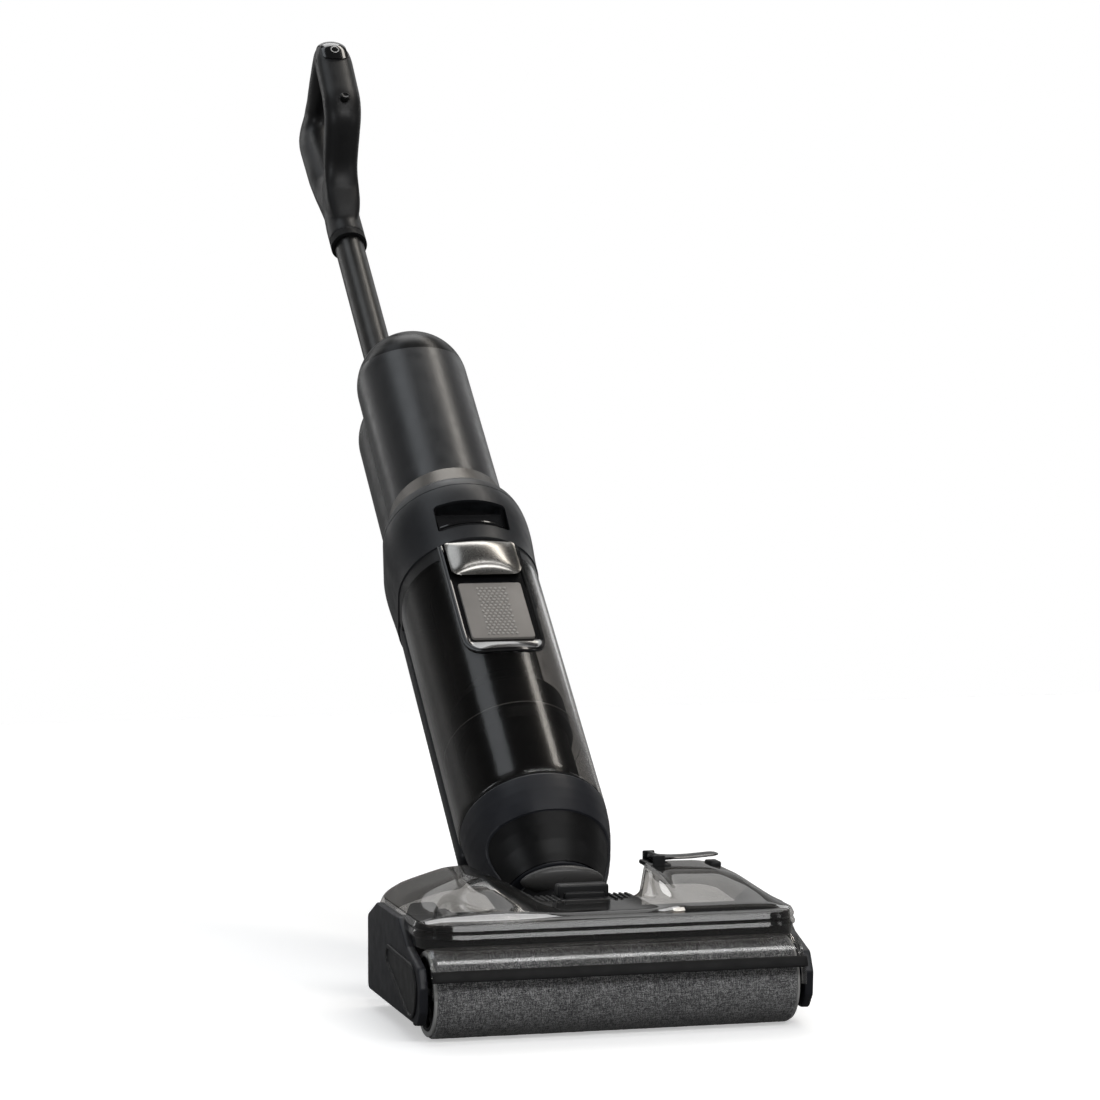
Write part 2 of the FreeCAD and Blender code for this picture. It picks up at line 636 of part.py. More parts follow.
def make_cover():
    whole = both_ways(dim("cover_half"))
    thick = dim("deck_thick")
    tops = ((1, dim("right_hump_top")), (-1, dim("left_hump_top")))
    rim_top = DECK_TOP - dim("rim_step")
    around = rod("x", dim("wrap_outer"), both_ways(dim("wrap_half")), ROLLER)
    front_piece = block(whole, (dim("rim_front") - dim("wrap_outer"), dim("wrap_back")),
                        (dim("wrap_low"), dim("rim_low") + thick))
    wrap = overlap(cut(around, rod("x", dim("wrap_inner"), whole, ROLLER)), front_piece)
    solid = join(
        block(whole, (dim("deck_front"), dim("deck_back")), (dim("deck_low"), DECK_TOP)),
        block(whole, (dim("rim_front"), dim("rim_front") + thick), (dim("rim_low"), rim_top)),
        block(whole, (dim("rim_front"), dim("deck_front") + 1), (dim("deck_low") - thick, rim_top)),
        wrap, *[hump(side, top, 0) for side, top in tops])
    past = dim("deck_back") + 1
    notch_points = [(-dim("notch_narrow"), dim("notch_front")), (dim("notch_narrow"), dim("notch_front")),
                    (dim("notch_wide"), past), (-dim("notch_wide"), past)]
    notch = padded("XY_Plane", notch_points, (dim("rim_low"), dim("notch_high")))
    hollows = [hump(side, top, dim("hump_wall")) for side, top in tops]
    finish("roller_cover", cut(solid, notch, *hollows))
    strip_inner = dim("wrap_outer")
    strip_ring = cut(rod("x", strip_inner + dim("strip_thick"), both_ways(dim("wrap_half") + 1), ROLLER),
                     rod("x", strip_inner, whole, ROLLER))
    strip_room = block(whole, (dim("rim_front") - strip_inner, dim("rim_front")),
                       (dim("wrap_low"), dim("strip_top")))
    finish("cover_strip", overlap(strip_ring, strip_room))
    latch = join(
        block((dim("latch_in"), dim("latch_out")), (dim("latch_front"), dim("latch_back")),
              (dim("latch_low"), dim("latch_low") + dim("latch_thick"))),
        rod("y", dim("latch_hinge"), (dim("latch_front"), dim("latch_back")),
            (dim("latch_in") + dim("latch_thick"), dim("latch_low") + dim("latch_hinge"))))
    finish("cover_latch", latch)


# ---------------------------------------------------------------- neck

def make_neck():
    drop = -dim("pivot_drop")
    knuckle = rod("x", dim("knuckle_radius"), both_ways(dim("knuckle_half")), (0, drop))
    stem = rod("z", dim("stem_radius"), (dim("stem_low"), dim("stem_top")), CENTRE)

    def pin_hole(side):
        return rod("x", dim("pin_radius") + dim("fit_gap"),
                   side_span(side, dim("pin_inner") - 1, dim("knuckle_half") + 1), (0, drop))

    bore = rod("z", dim("stem_bore"), (dim("stem_low"), dim("stem_top") + 1), CENTRE)
    finish("neck_yoke", cut(join(knuckle, stem), bore, *mirrored(pin_hole)), upright=True)
    finish("swivel_ring", tube("z", dim("stem_radius"), dim("swivel_inner"),
                               (dim("stem_top"), dim("swivel_top")), CENTRE), upright=True)
    lens = doc.addObject("Part::Ellipsoid", new_name("lens"))
    bind(lens, "Radius1", dim("cap_height"))
    bind(lens, "Radius2", dim("cap_half"))
    bind(lens, "Radius3", dim("cap_depth"))
    place(lens, (0, dim("cap_back"), dim("cap_middle")))
    finish("neck_cap", cut(lens, rod("z", dim("stem_radius") + dim("fit_gap"),
                                     (dim("stem_low"), dim("housing_low")), CENTRE),
                           rod("x", dim("knuckle_radius") + dim("fit_gap"),
                               both_ways(dim("knuckle_half")), (0, drop))), upright=True)


# ---------------------------------------------------------------- upright

def shifted(points, outward):
    return [(radius + outward, height) for radius, height in points]


def make_lower_housing():
    profile = outline("housing")
    thick = dim("shell_thick")
    hole = dim("housing_hole")
    low, top = dim("housing_low"), dim("housing_top")
    inside = shifted(profile, -thick)
    inner_low = (inside[0][0], low + thick)
    inner_top = (inside[-1][0], top - thick)
    ring = [(hole, low), *profile, (hole, top), (hole, top - thick), inner_top,
            *reversed(inside[1:-1]), inner_low, (hole, low + thick)]
    finish("lower_housing", turned(ring), upright=True)
    gap = dim("skin_gap")
    proud = dim("panel_proud")
    skin = turned([*shifted(profile, gap), *reversed(shifted(profile, gap + proud))])
    front = block(both_ways(dim("panel_half")), (-FAR, -dim("skin_gap")),
                  (dim("panel_low"), dim("panel_top")))
    finish("front_panel", overlap(skin, front), upright=True)
    cells = [rod("z", dim("cell_radius"), (dim("cell_low"), dim("cell_low") + dim("cell_length")),
                 (dim("cell_pitch") * across, dim("cell_pitch") * back))
             for across, back in ((-1, -0.5), (0, -0.5), (1, -0.5), (-1, 0.5), (0, 0.5), (1, 0.5))]
    finish("battery_cells", group(*cells), upright=True)


def body_egg(span, inset=0):
    return egg(dim("body_front") - inset, dim("body_rear") - inset, dim("body_depth"), span)


def make_spine():
    thick = dim("shell_thick")
    low, top = dim("spine_low"), dim("tank_top") + dim("run_gap")
    hollow = overlap(body_egg((low + thick, top - thick), thick),
                     block(both_ways(FAR), (dim("tank_seam") + thick, FAR), (low, top)))
    rear = overlap(body_egg((low, top)), block(both_ways(FAR), (dim("tank_seam"), FAR), (low, top)))
    tube_hole = rod("z", dim("tube_radius"), (top - thick * 2, top + 1), (0, dim("tube_y")))
    finish("spine", cut(rear, hollow, tube_hole), upright=True)
    finish("water_pump", block(both_ways(dim("pump_half")), (dim("pump_front"), dim("pump_back")),
                               (dim("pump_low"), dim("pump_top"))), upright=True)


def tank_half(span, inset):
    """The dirty tank's section: the body section in front of the seam, less a gap."""
    return overlap(body_egg(span, inset),
                   block(both_ways(FAR), (-FAR, dim("tank_seam") - dim("run_gap") - inset), span))


def make_dirty_tank():
    low, split, top = dim("tank_low"), dim("tank_split"), dim("tank_top")
    thick = dim("tank_thick")
    window = both_ways(dim("window_half"))
    wall = dim("recess_wall")
    back = dim("recess_back")

    def pocket(end):
        return block(both_ways(dim("window_half") + wall), (-FAR, back + wall),
                     (dim("window_low") - wall, end))

    shell = cut(tank_half((low, split), 0), tank_half((low + thick, split + 1), thick), pocket(top + 1))
    finish("dirty_tank_shell", shell, upright=True)
    lid_hollow = tank_half((split - 1, top - thick), dim("lid_wall"))
    finish("tank_lid", cut(tank_half((split, top), 0), lid_hollow, pocket(top + 1)), upright=True)
    tray = cut(overlap(pocket(top), body_egg((low, top))),
               block(window, (-FAR, back), (dim("window_low"), top + 1)))
    bezel_span = (dim("bezel_low"), top)
    frame = cut(
        overlap(tube("z", dim("body_front") + dim("bezel_proud"), dim("body_front"), bezel_span, CENTRE),
                block(both_ways(dim("bezel_half")), (-FAR, 0), bezel_span)),
        block(window, (-FAR, 0), (dim("window_low"), top + 1)))
    finish("window_bezel", join(tray, frame), upright=True)
    finish("grip_plate", block(both_ways(dim("plate_half")), (back - dim("plate_thick"), back),
                               (dim("plate_low"), dim("plate_top"))), upright=True)
    button = overlap(rod("z", dim("button_radius"), (dim("button_low"), top - dim("run_gap")), CENTRE),
                     block(both_ways(dim("button_half")), (-FAR, dim("button_back")),
                           (dim("button_low"), top)))
    finish("release_button", button, upright=True)


def make_separator():
    profile = outline("separator")
    inside = shifted(profile, -dim("sep_wall"))
    skin = turned([*profile, *reversed(inside)])
    place(skin, (0, dim("sep_y"), 0))
    room = block(both_ways(FAR), (-FAR, dim("sep_back")), (0, dim("tank_top")))
    finish("separator", overlap(skin, room), upright=True)
    finish("float", rod("z", dim("float_radius"), (dim("float_low"), dim("float_low") + dim("float_height")),
                        (dim("float_x"), dim("float_y"))), upright=True)


def collar_solid(inset):
    """The collar's outside shape, bulging in the middle; inset gives the solid of its hollow."""
    floor = dim("collar_floor") if inset else 0
    ends = 1 if inset else 0
    low, top = dim("collar_low") + floor, dim("collar_top") + ends
    return egg_loft(dim("body_depth"), [
        (dim("collar_low_front") - inset, dim("collar_low_rear") - inset, low),
        (dim("collar_mid_front") - inset, dim("collar_mid_rear") - inset, dim("collar_mid")),
        (dim("collar_top_front") - inset, dim("collar_top_rear") - inset, top)])


def make_collar():
    low = dim("collar_low")
    wall = dim("slot_wall")
    back = dim("slot_back")
    slot = block(both_ways(dim("slot_half")), (-FAR, back), (dim("slot_low"), dim("slot_top")))
    tube_hole = rod("z", dim("tube_radius"), (low - 1, low + dim("collar_floor") + 1), (0, dim("tube_y")))
    pocket = cut(block(both_ways(dim("slot_half") + wall), (-FAR, back + wall),
                       (dim("slot_low") - wall, dim("slot_top") + wall)), slot)
    shell = cut(collar_solid(0), collar_solid(dim("collar_wall")), slot, tube_hole)
    finish("tank_collar", join(shell, overlap(pocket, collar_solid(0))), upright=True)


def barrel_solid(inset, low):
    radius = dim("barrel_radius") - inset
    return join(rod("z", radius, (low, dim("dome_centre")), CENTRE), ball(radius, (0, 0, dim("dome_centre"))))


def above_cap_line():
    """Everything above the slanted line where the cap meets the barrel."""
    made = doc.addObject("Part::Box", new_name("above"))
    for path in ("Length", "Width", "Height"):
        bind(made, path, FAR * 2)
    place(made, (-FAR, -dim("barrel_radius"), dim("cap_front")),
          Rotation(Vector(1, 0, 0), dim("cap_slope").value))
    return made


def make_barrel():
    thick = dim("shell_thick")
    low = dim("barrel_low")

    def shell():
        return cut(barrel_solid(0, low), barrel_solid(thick, low + thick))

    finish("barrel_shell", cut(shell(), above_cap_line()), upright=True)
    finish("barrel_cap", overlap(shell(), above_cap_line()), upright=True)
    band = doc.addObject("Part::Cone", new_name("band"))
    bind(band, "Radius1", dim("band_foot"))
    bind(band, "Radius2", dim("barrel_radius") + dim("band_lap"))
    bind(band, "Height", dim("band_top") - low)
    place(band, (0, 0, low))
    front = block(both_ways(FAR), (-FAR, dim("band_back")), (low, dim("band_top")))
    finish("barrel_band", overlap(cut(band, rod("z", dim("barrel_radius"), (low, dim("band_top")), CENTRE)),
                                  front), upright=True)
    case_low, case_top = dim("motor_case_low"), dim("motor_case_top")
    case_room = rod("z", dim("motor_case") - dim("motor_case_wall"),
                    (case_low - 1, case_top - dim("motor_core")), CENTRE)
    finish("suction_motor", cut(rod("z", dim("motor_case"), (case_low, case_top), CENTRE), case_room),
           upright=True)
    fan_low = dim("fan_low")
    finish("fan", join(rod("z", dim("fan_radius"), (fan_low, fan_low + dim("fan_disc")), CENTRE),
                       rod("z", dim("fan_hub"), (fan_low, dim("fan_top")), CENTRE), *fan_blades()),
           upright=True)
    finish("circuit_board", block(both_ways(dim("board_half")), both_ways(dim("board_thick") * 0.5),
                                  (dim("board_low"), dim("board_top"))), upright=True)


def fan_blades():
    blades = []
    for step in range(BLADES):
        made = doc.addObject("Part::Box", new_name("blade"))
        bind(made, "Length", dim("fan_radius") - dim("blade_inset"))
        bind(made, "Width", dim("blade_thick"))
        bind(made, "Height", dim("fan_top") - dim("fan_low") - dim("fan_disc"))
        place(made, (0, 0, dim("fan_low") + 1), Rotation(Vector(0, 0, 1), step * 360 / BLADES))
        blades.append(made)
    return blades


def clean_solid(inset):
    radius = dim("clean_radius") - inset
    middle = dim("body_depth")
    return join(rod("z", radius, (dim("clean_low") + inset, dim("clean_dome")), (0, middle)),
                ball(radius, (0, middle, dim("clean_dome"))))


def clean_room(inset):
    """The space that the barrel and the handle tube take out of the clean tank's front."""
    low, top = dim("clean_low") - 1, dim("clean_dome") + dim("clean_radius") + 1
    gap = dim("clean_gap")
    channel = dim("tube_radius") + gap + inset
    return [rod("z", dim("barrel_radius") + gap + inset, (low, top), CENTRE),
            rod("z", channel, (low, top), (0, dim("tube_y"))),
            block(both_ways(channel), (0, dim("tube_y")), (low, top))]


def make_clean_tank():
    wall = dim("clean_wall")
    hole = rod("y", dim("fill_radius") + dim("run_gap"),
               (dim("fill_front"), dim("fill_back") + dim("tool_reach")), (dim("fill_x"), dim("fill_z")))
    inside = cut(clean_solid(wall), *clean_room(wall))
    finish("clean_tank", cut(clean_solid(0), inside, hole, *clean_room(0)), upright=True)
    finish("clean_tank_cap", rod("y", dim("fill_radius"), (dim("fill_front") + 1, dim("fill_back")),
                                 (dim("fill_x"), dim("fill_z"))), upright=True)


def make_handle():
    behind = (0, dim("tube_y"))
    finish("tube_mount", cut(block(both_ways(dim("mount_half")), (dim("mount_front"), dim("mount_back")),
                                   (dim("collar_low") + dim("collar_floor"), dim("mount_top"))),
                             rod("z", dim("tube_radius"), (dim("collar_low"), dim("mount_top") + 1), behind)),
           upright=True)
    finish("handle_tube", tube("z", dim("tube_radius"), dim("tube_bore"),
                               (dim("tube_low"), dim("tube_top")), behind), upright=True)
    finish("socket_ring", tube("z", dim("ring_radius"), dim("tube_radius"),
                               (dim("ring_low"), dim("ring_top")), behind), upright=True)
    half = both_ways(dim("grip_half"))
    wall = dim("grip_wall")
    core_span = both_ways(dim("grip_half") - wall)
    solid = cut(pulled(outline("grip_outside"), half), pulled(outline("grip_opening"), half))
    cavity = cut(pulled_offset(outline("grip_outside"), core_span, -wall),
                 pulled_offset(outline("grip_opening"), core_span, wall))
    reach, gap = dim("tool_reach"), dim("trigger_gap")
    tools = [
        cavity,
        rod("z", dim("tube_radius"), (dim("ring_low"), dim("tube_top")), behind),
        rod("y", dim("mode_radius") + dim("run_gap"), (dim("mode_face") - reach, dim("mode_face") + reach),
            (0, dim("mode_height"))),
        block(both_ways(dim("trigger_half") + gap),
              (dim("trigger_front") - reach, dim("trigger_back") + reach),
              (dim("trigger_low") - gap, dim("trigger_top") + gap)),
    ]
    finish("handle_shell", cut(solid, *tools), upright=True)


def make_handle_controls():
    width, length, thick = dim("panel_width"), dim("panel_length"), dim("panel_thick")
    middle = (0, dim("power_middle"))

    def on_panel(made, label):
        holder = group(made)
        place(holder, (0, dim("panel_front"), dim("panel_height")),
              Rotation(Vector(1, 0, 0), dim("panel_tilt").value))
        finish(label, holder, upright=True)

    plate = block(both_ways(width), (0, length), (dim("skin_gap"), thick))
    hole = rod("z", dim("power_radius") + dim("run_gap"), (-1, thick + 1), middle)
    on_panel(cut(plate, hole), "touch_panel")
    cap = rod("z", dim("power_radius"), (dim("power_low"), thick + dim("power_proud")), middle)
    on_panel(cap, "power_button")
    finish("mode_button", rod("y", dim("mode_radius"), (dim("mode_face"), dim("mode_back")),
                              (0, dim("mode_height"))), upright=True)
    finish("trigger", block(both_ways(dim("trigger_half")), (dim("trigger_front"), dim("trigger_back")),
                            (dim("trigger_low"), dim("trigger_top"))), upright=True)


# ---------------------------------------------------------------- build, check and write

def check(made):
    if "Invalid" in made.State or "Error" in made.State:
        raise RuntimeError(f"{made.Label} did not recompute: {made.State}")


def main():
    make_chassis()
    make_ballast()
    make_small_head_pieces()
    make_side_walls()
    make_end_caps()
    make_roller()
    make_brush_motor()
    make_wheels()
    make_cover()
    make_neck()
    make_lower_housing()
    make_spine()
    make_dirty_tank()
    make_separator()
    make_collar()
    make_barrel()
    make_clean_tank()
    make_handle()
    make_handle_controls()
    doc.recompute()
    for made in doc.Objects:
        check(made)
    for piece in finished:
        if piece.Shape.isNull() or not piece.Shape.isValid():
            raise RuntimeError(f"{piece.Label} has no valid shape")
    os.makedirs("parts", exist_ok=True)
    for piece in finished:
        piece.Shape.exportStep(f"parts/{piece.Label}.step")
    print(len(finished), "pieces written")


main()
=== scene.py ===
import json
import math

import bmesh
import bpy
from mathutils import Matrix, Vector, noise
from mathutils.geometry import delaunay_2d_cdt


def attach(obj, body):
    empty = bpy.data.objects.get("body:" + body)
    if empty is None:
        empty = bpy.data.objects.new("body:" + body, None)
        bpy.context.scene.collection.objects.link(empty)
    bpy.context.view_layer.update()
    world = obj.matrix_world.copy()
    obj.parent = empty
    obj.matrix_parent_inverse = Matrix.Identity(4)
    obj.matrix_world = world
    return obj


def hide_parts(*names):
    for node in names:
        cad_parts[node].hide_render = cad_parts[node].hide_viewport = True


# Wet dry floor scrubber. Shapes are given in millimetres and become metres as their meshes are made.
# HEAD is the row frame: +X right, +Y rear, +Z up. UPRIGHT is the leaning body's own frame: +Z up along the
# body and +Y to its rear, with its origin on the swivel's axis.

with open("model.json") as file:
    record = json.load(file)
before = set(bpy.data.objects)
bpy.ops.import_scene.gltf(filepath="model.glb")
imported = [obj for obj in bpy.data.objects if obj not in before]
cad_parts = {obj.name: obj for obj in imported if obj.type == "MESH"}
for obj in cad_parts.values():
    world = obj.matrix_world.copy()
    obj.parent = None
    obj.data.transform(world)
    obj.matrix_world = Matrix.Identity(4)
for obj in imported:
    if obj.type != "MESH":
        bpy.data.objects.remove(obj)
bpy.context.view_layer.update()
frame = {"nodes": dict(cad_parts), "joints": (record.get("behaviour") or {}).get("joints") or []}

MM = 0.001
TURN = 2 * math.pi
joints = {joint["name"]: joint for joint in frame["joints"]}
swivel_axis = Vector(joints["swivel"]["axis"])
lean = math.atan2(swivel_axis.y, swivel_axis.z)
UP = Vector((0, 0, 1))
FORWARD = Vector((0, -1, 0))
HEAD = Matrix.Identity(4)
UPRIGHT = Matrix.Translation(joints["swivel"]["pos_m"]) @ Matrix.Rotation(-lean, 4, "X")


# ---------------------------------------------------------------- places, read from the frame

def local_points(node, space):
    inverse = space.inverted()
    return [inverse @ vertex.co / MM for vertex in frame["nodes"][node].data.vertices]


def local_box(node, space=HEAD):
    """A node's lowest and highest corners in that space, in millimetres."""
    points = local_points(node, space)
    low = Vector([min(point[axis] for point in points) for axis in range(3)])
    high = Vector([max(point[axis] for point in points) for axis in range(3)])
    return low, high


# ---------------------------------------------------------------- curves and numbers

def ease(value, start, stop):
    """0 at start, 1 at stop, smooth in between."""
    share = min(max((value - start) / (stop - start), 0), 1)
    return share * share * (3 - 2 * share)


def straight(points, value):
    """A broken line through (place, height) points."""
    if value <= points[0][0]:
        return points[0][1]
    for (start, low), (stop, high) in zip(points, points[1:]):
        if value <= stop:
            return low + (high - low) * (value - start) / (stop - start)
    return points[-1][1]


def steps(start, stop, count):
    return [start + (stop - start) * index / count for index in range(count + 1)]


def turns(count):
    """Equal angles once round, without the last, which would repeat the first."""
    return steps(0, TURN, count)[:-1]


def around_x(along, radius, angle):
    """A point at that angle round the X axis."""
    return Vector((along, radius * math.cos(angle), radius * math.sin(angle)))


def signed_power(value, power):
    return math.copysign(abs(value) ** power, value)


def rounded_outline(corners, arc_steps=7):
    """A closed outline from (across, up, radius) corners, each corner an arc."""
    outline = []
    count = len(corners)
    for index, (across, up, radius) in enumerate(corners):
        here = Vector((across, up))
        back = Vector(corners[index - 1][:2]) - here
        ahead = Vector(corners[(index + 1) % count][:2]) - here
        half_angle = back.angle(ahead) / 2
        reach = min(radius / math.tan(half_angle), back.length * 0.49, ahead.length * 0.49)
        start = here + back.normalized() * reach
        stop = here + ahead.normalized() * reach
        inward = (back.normalized() + ahead.normalized()).normalized()
        middle = here + inward * (reach / math.cos(half_angle))
        size = (start - middle).length
        for share in steps(0, 1, arc_steps):
            point = start.lerp(stop, share) - middle
            outline.append(middle + point.normalized() * size)
    return outline


def rectangle(across, up, radius, arc_steps=7):
    """A rounded rectangle between two places across and two up."""
    corners = ((across[0], up[0]), (across[1], up[0]), (across[1], up[1]), (across[0], up[1]))
    return rounded_outline([(*corner, radius) for corner in corners], arc_steps)


def resampled(outline, pitch, closed=True):
    """The outline with points added so that no two are further apart than pitch."""
    result = []
    count = len(outline)
    for index, here in enumerate(outline):
        result.append(here)
        if index == count - 1 and not closed:
            break
        after = outline[(index + 1) % count]
        parts = max(int((after - here).length / pitch), 1)
        result.extend(here.lerp(after, part / parts) for part in range(1, parts))
    return result


def drawn_in(ring, middle, inset):
    """The ring with each point moved by inset towards the middle."""
    return [point - (point - middle).normalized() * inset for point in ring]


def egg_ring(front, rear, spacing, count, inset=0):
    """A circle at the origin and a smaller one behind it, joined by tangents."""
    ring = []
    for index in range(count):
        angle = TURN * index / count
        outward = Vector((math.cos(angle), math.sin(angle)))
        on_front = outward * (front - inset)
        on_rear = Vector((0, spacing)) + outward * (rear - inset)
        ring.append(max(on_front, on_rear, key=lambda point: point.dot(outward)))
    return ring


# ---------------------------------------------------------------- meshes

class Surface:
    """Points in millimetres and faces, gathered before they become one piece."""

    def __init__(self):
        self.points = []
        self.faces = []

    def grid(self, rows, across_closed=False, along_closed=False, cap_start=False, cap_end=False):
        """Quads between rows of points; each row has the same number of points."""
        first = len(self.points)
        width, height = len(rows[0]), len(rows)
        for row in rows:
            self.points.extend(Vector(point) for point in row)
        for low in range(height if along_closed else height - 1):
            high = (low + 1) % height
            for left in range(width if across_closed else width - 1):
                right = (left + 1) % width
                self.faces.append((first + low * width + left, first + low * width + right,
                                   first + high * width + right, first + high * width + left))
        if cap_start:
            self.faces.append(tuple(first + index for index in range(width)))
        if cap_end:
            self.faces.append(tuple(first + (height - 1) * width + index for index in range(width)))
        return self

    def tube(self, rings):
        """Closed rings joined in order, with both ends capped."""
        return self.grid(rings, across_closed=True, cap_start=True, cap_end=True)

    def turned(self, profile, axis="x", centre=(0, 0, 0), count=64):
        """A closed (radius, along) profile turned about an axis through centre."""
        rows = []
        for angle in turns(count):
            row = []
            for radius, along in profile:
                a, b = radius * math.cos(angle), radius * math.sin(angle)
                point = {"x": (along, a, b), "y": (a, along, b), "z": (a, b, along)}[axis]
                row.append(Vector(point) + Vector(centre))
            rows.append(row)
        return self.grid(rows, across_closed=True, along_closed=True)

    def repeated(self, part, count, centre):
        """Copies of a part, which stands at the origin, spaced round the X axis through centre."""
        for angle in turns(count):
            turn = Matrix.Rotation(angle, 4, "X")
            first = len(self.points)
            self.points.extend(centre + turn @ point for point in part.points)
            self.faces.extend(tuple(first + number for number in face) for face in part.faces)
        return self

    def soft_block(self, x, y, z, edge):
        """A box whose plan corners and top and bottom edges are rounded off."""
        plan = rectangle(x, y, edge, arc_steps=4)
        middle = Vector(((x[0] + x[1]) / 2, (y[0] + y[1]) / 2))
        levels = ((z[0], 1), (z[0] + edge * 0.3, 0.3), (z[0] + edge, 0), (z[1] - edge, 0),
                  (z[1] - edge * 0.3, 0.3), (z[1], 1))
        return self.tube([[(*point, up) for point in drawn_in(plan, middle, edge * inward)]
                          for up, inward in levels])

    def plate(self, outline, depth, place):
        """A flat outline pulled from depth[0] to depth[1]; place turns (across, up, depth) into a point."""
        return self.tube([[place(point.x, point.y, level) for point in outline] for level in depth])

    def swept(self, path, profile, place):
        """An (outward, height) profile carried along an open path that turns left; place as in plate."""
        rows = []
        for before, here, after in zip([path[0], *path], path, [*path[1:], path[-1]]):
            along = (after - before).normalized()
            outward = Vector((along.y, -along.x))
            rows.append([place(*(here + outward * out), height) for out, height in profile])
        return self.tube(rows)

    def build(self, name, space=HEAD):
        mesh = bpy.data.meshes.new(name)
        mesh.from_pydata([space @ (point * MM) for point in self.points], [], self.faces)
        tidy = bmesh.new()
        tidy.from_mesh(mesh)
        bmesh.ops.remove_doubles(tidy, verts=tidy.verts, dist=0.01 * MM)
        loose = [edge for edge in tidy.edges if not edge.link_faces]
        bmesh.ops.delete(tidy, geom=loose, context="EDGES")
        bmesh.ops.recalc_face_normals(tidy, faces=tidy.faces)
        tidy.to_mesh(mesh)
        tidy.free()
        made = bpy.data.objects.new(name, mesh)
        bpy.context.scene.collection.objects.link(made)
        return made


def apply(made):
    """Make the modifiers' result the piece's own mesh."""
    bpy.context.view_layer.update()
    evaluated = made.evaluated_get(bpy.context.evaluated_depsgraph_get())
    mesh = bpy.data.meshes.new_from_object(evaluated)
    made.modifiers.clear()
    made.data = mesh
    return made


def face_towards(made, direction):
    """Turn an open sheet's faces so that, taken together, they look in that direction."""
    if sum(face.normal.dot(direction) for face in made.data.polygons) < 0:
        made.data.flip_normals()


def thicken(made, thickness):
    wall = made.modifiers.new("wall", "SOLIDIFY")
    wall.thickness = thickness * MM
    wall.offset = -1
    wall.use_even_offset = False
    return apply(made)


def soften(made, width, segments=3, angle=30):
    edge = made.modifiers.new("edge", "BEVEL")
    edge.width = width * MM
    edge.segments = segments
    edge.limit_method = "ANGLE"
    edge.angle_limit = math.radians(angle)
    return apply(made)


def carve(made, tool):
    opening = made.modifiers.new("opening", "BOOLEAN")
    opening.operation = "DIFFERENCE"
    opening.solver = "EXACT"
    opening.object = tool
    apply(made)
    bpy.data.objects.remove(tool)
    return made


def shade(made, angle=35):
    """Smooth shading, with a sharp edge wherever two faces meet at more than that angle."""
    shaped = bmesh.new()
    shaped.from_mesh(made.data)
    limit = math.radians(angle)
    for face in shaped.faces:
        face.smooth = True
    for edge in shaped.edges:
        edge.smooth = len(edge.link_faces) != 2 or edge.calc_face_angle(0) < limit
    shaped.to_mesh(made.data)
    shaped.free()


def finish_piece(made, material, body, nodes=(), angle=35):
    made.data.materials.clear()
    made.data.materials.append(material)
    shade(made, angle)
    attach(made, body)
    if nodes:
        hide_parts(*nodes)
    return made


# ---------------------------------------------------------------- materials

NOISE_LOW, NOISE_HIGH = 0.3, 0.7  # nearly all of a noise texture's values lie between these


def fill_sockets(tree, node, values=(), links=()):
    """Set a node's sockets from values and link them from links, each keyed by the socket."""
    for socket, value in dict(values).items():
        node.inputs[socket].default_value = value
    for socket, source in dict(links).items():
        tree.links.new(source, node.inputs[socket])


def add_node(tree, kind, values=(), links=(), **settings):
    made = tree.nodes.new(kind)
    for setting, value in settings.items():
        setattr(made, setting, value)
    fill_sockets(tree, made, values, links)
    return made


def new_material(name):
    made = bpy.data.materials.new(name)
    made.use_nodes = True
    tree = made.node_tree
    return made, tree, tree.nodes["Principled BSDF"]


def noise_value(tree, size, detail, stretch=(1, 1, 1)):
    """Noise whose grains are about size millimetres across, stretched along the axes."""
    place = add_node(tree, "ShaderNodeTexCoord")
    scale = add_node(tree, "ShaderNodeMapping", {"Scale": [1 / (size * MM * part) for part in stretch]},
                     {"Vector": place.outputs["Object"]})
    made = add_node(tree, "ShaderNodeTexNoise", {"Scale": 1, "Detail": detail},
                    {"Vector": scale.outputs["Vector"]})
    return made.outputs["Fac"]


def ramp(tree, source, stops):
    """Colours at places from 0 to 1 along a value."""
    made = add_node(tree, "ShaderNodeValToRGB", (), {"Fac": source})
    elements = made.color_ramp.elements
    while len(elements) < len(stops):
        elements.new(0.5)
    for element, (place, colour) in zip(elements, stops):
        element.position = place
        element.color = (*colour, 1)
    return made.outputs["Color"]


def drifting(tree, size, detail, colour, share):
    """The colour, darker and lighter by that share from place to place."""
    dark, pale = [tuple(min(part * level, 1) for part in colour) for level in (1 - share, 1 + share)]
    return ramp(tree, noise_value(tree, size, detail), [(NOISE_LOW, dark), (NOISE_HIGH, pale)])


def spread(tree, source, middle, share):
    """A number that wanders by that share round its middle, as the noise does."""
    made = add_node(tree, "ShaderNodeMapRange", {
        "From Min": NOISE_LOW, "From Max": NOISE_HIGH, "To Min": middle * (1 - share),
        "To Max": middle * (1 + share)}, {"Value": source})
    return made.outputs["Result"]


def bumped(tree, shader, source, depth, edge=0):
    """A bump of depth millimetres; edge rounds the look of hard edges by that radius."""
    bump = add_node(tree, "ShaderNodeBump", {"Distance": depth * MM, "Strength": 0.8}, {"Height": source})
    if edge:
        bevel = add_node(tree, "ShaderNodeBevel", {"Radius": edge * MM}, samples=4)
        tree.links.new(bevel.outputs["Normal"], bump.inputs["Normal"])
    tree.links.new(bump.outputs["Normal"], shader.inputs["Normal"])


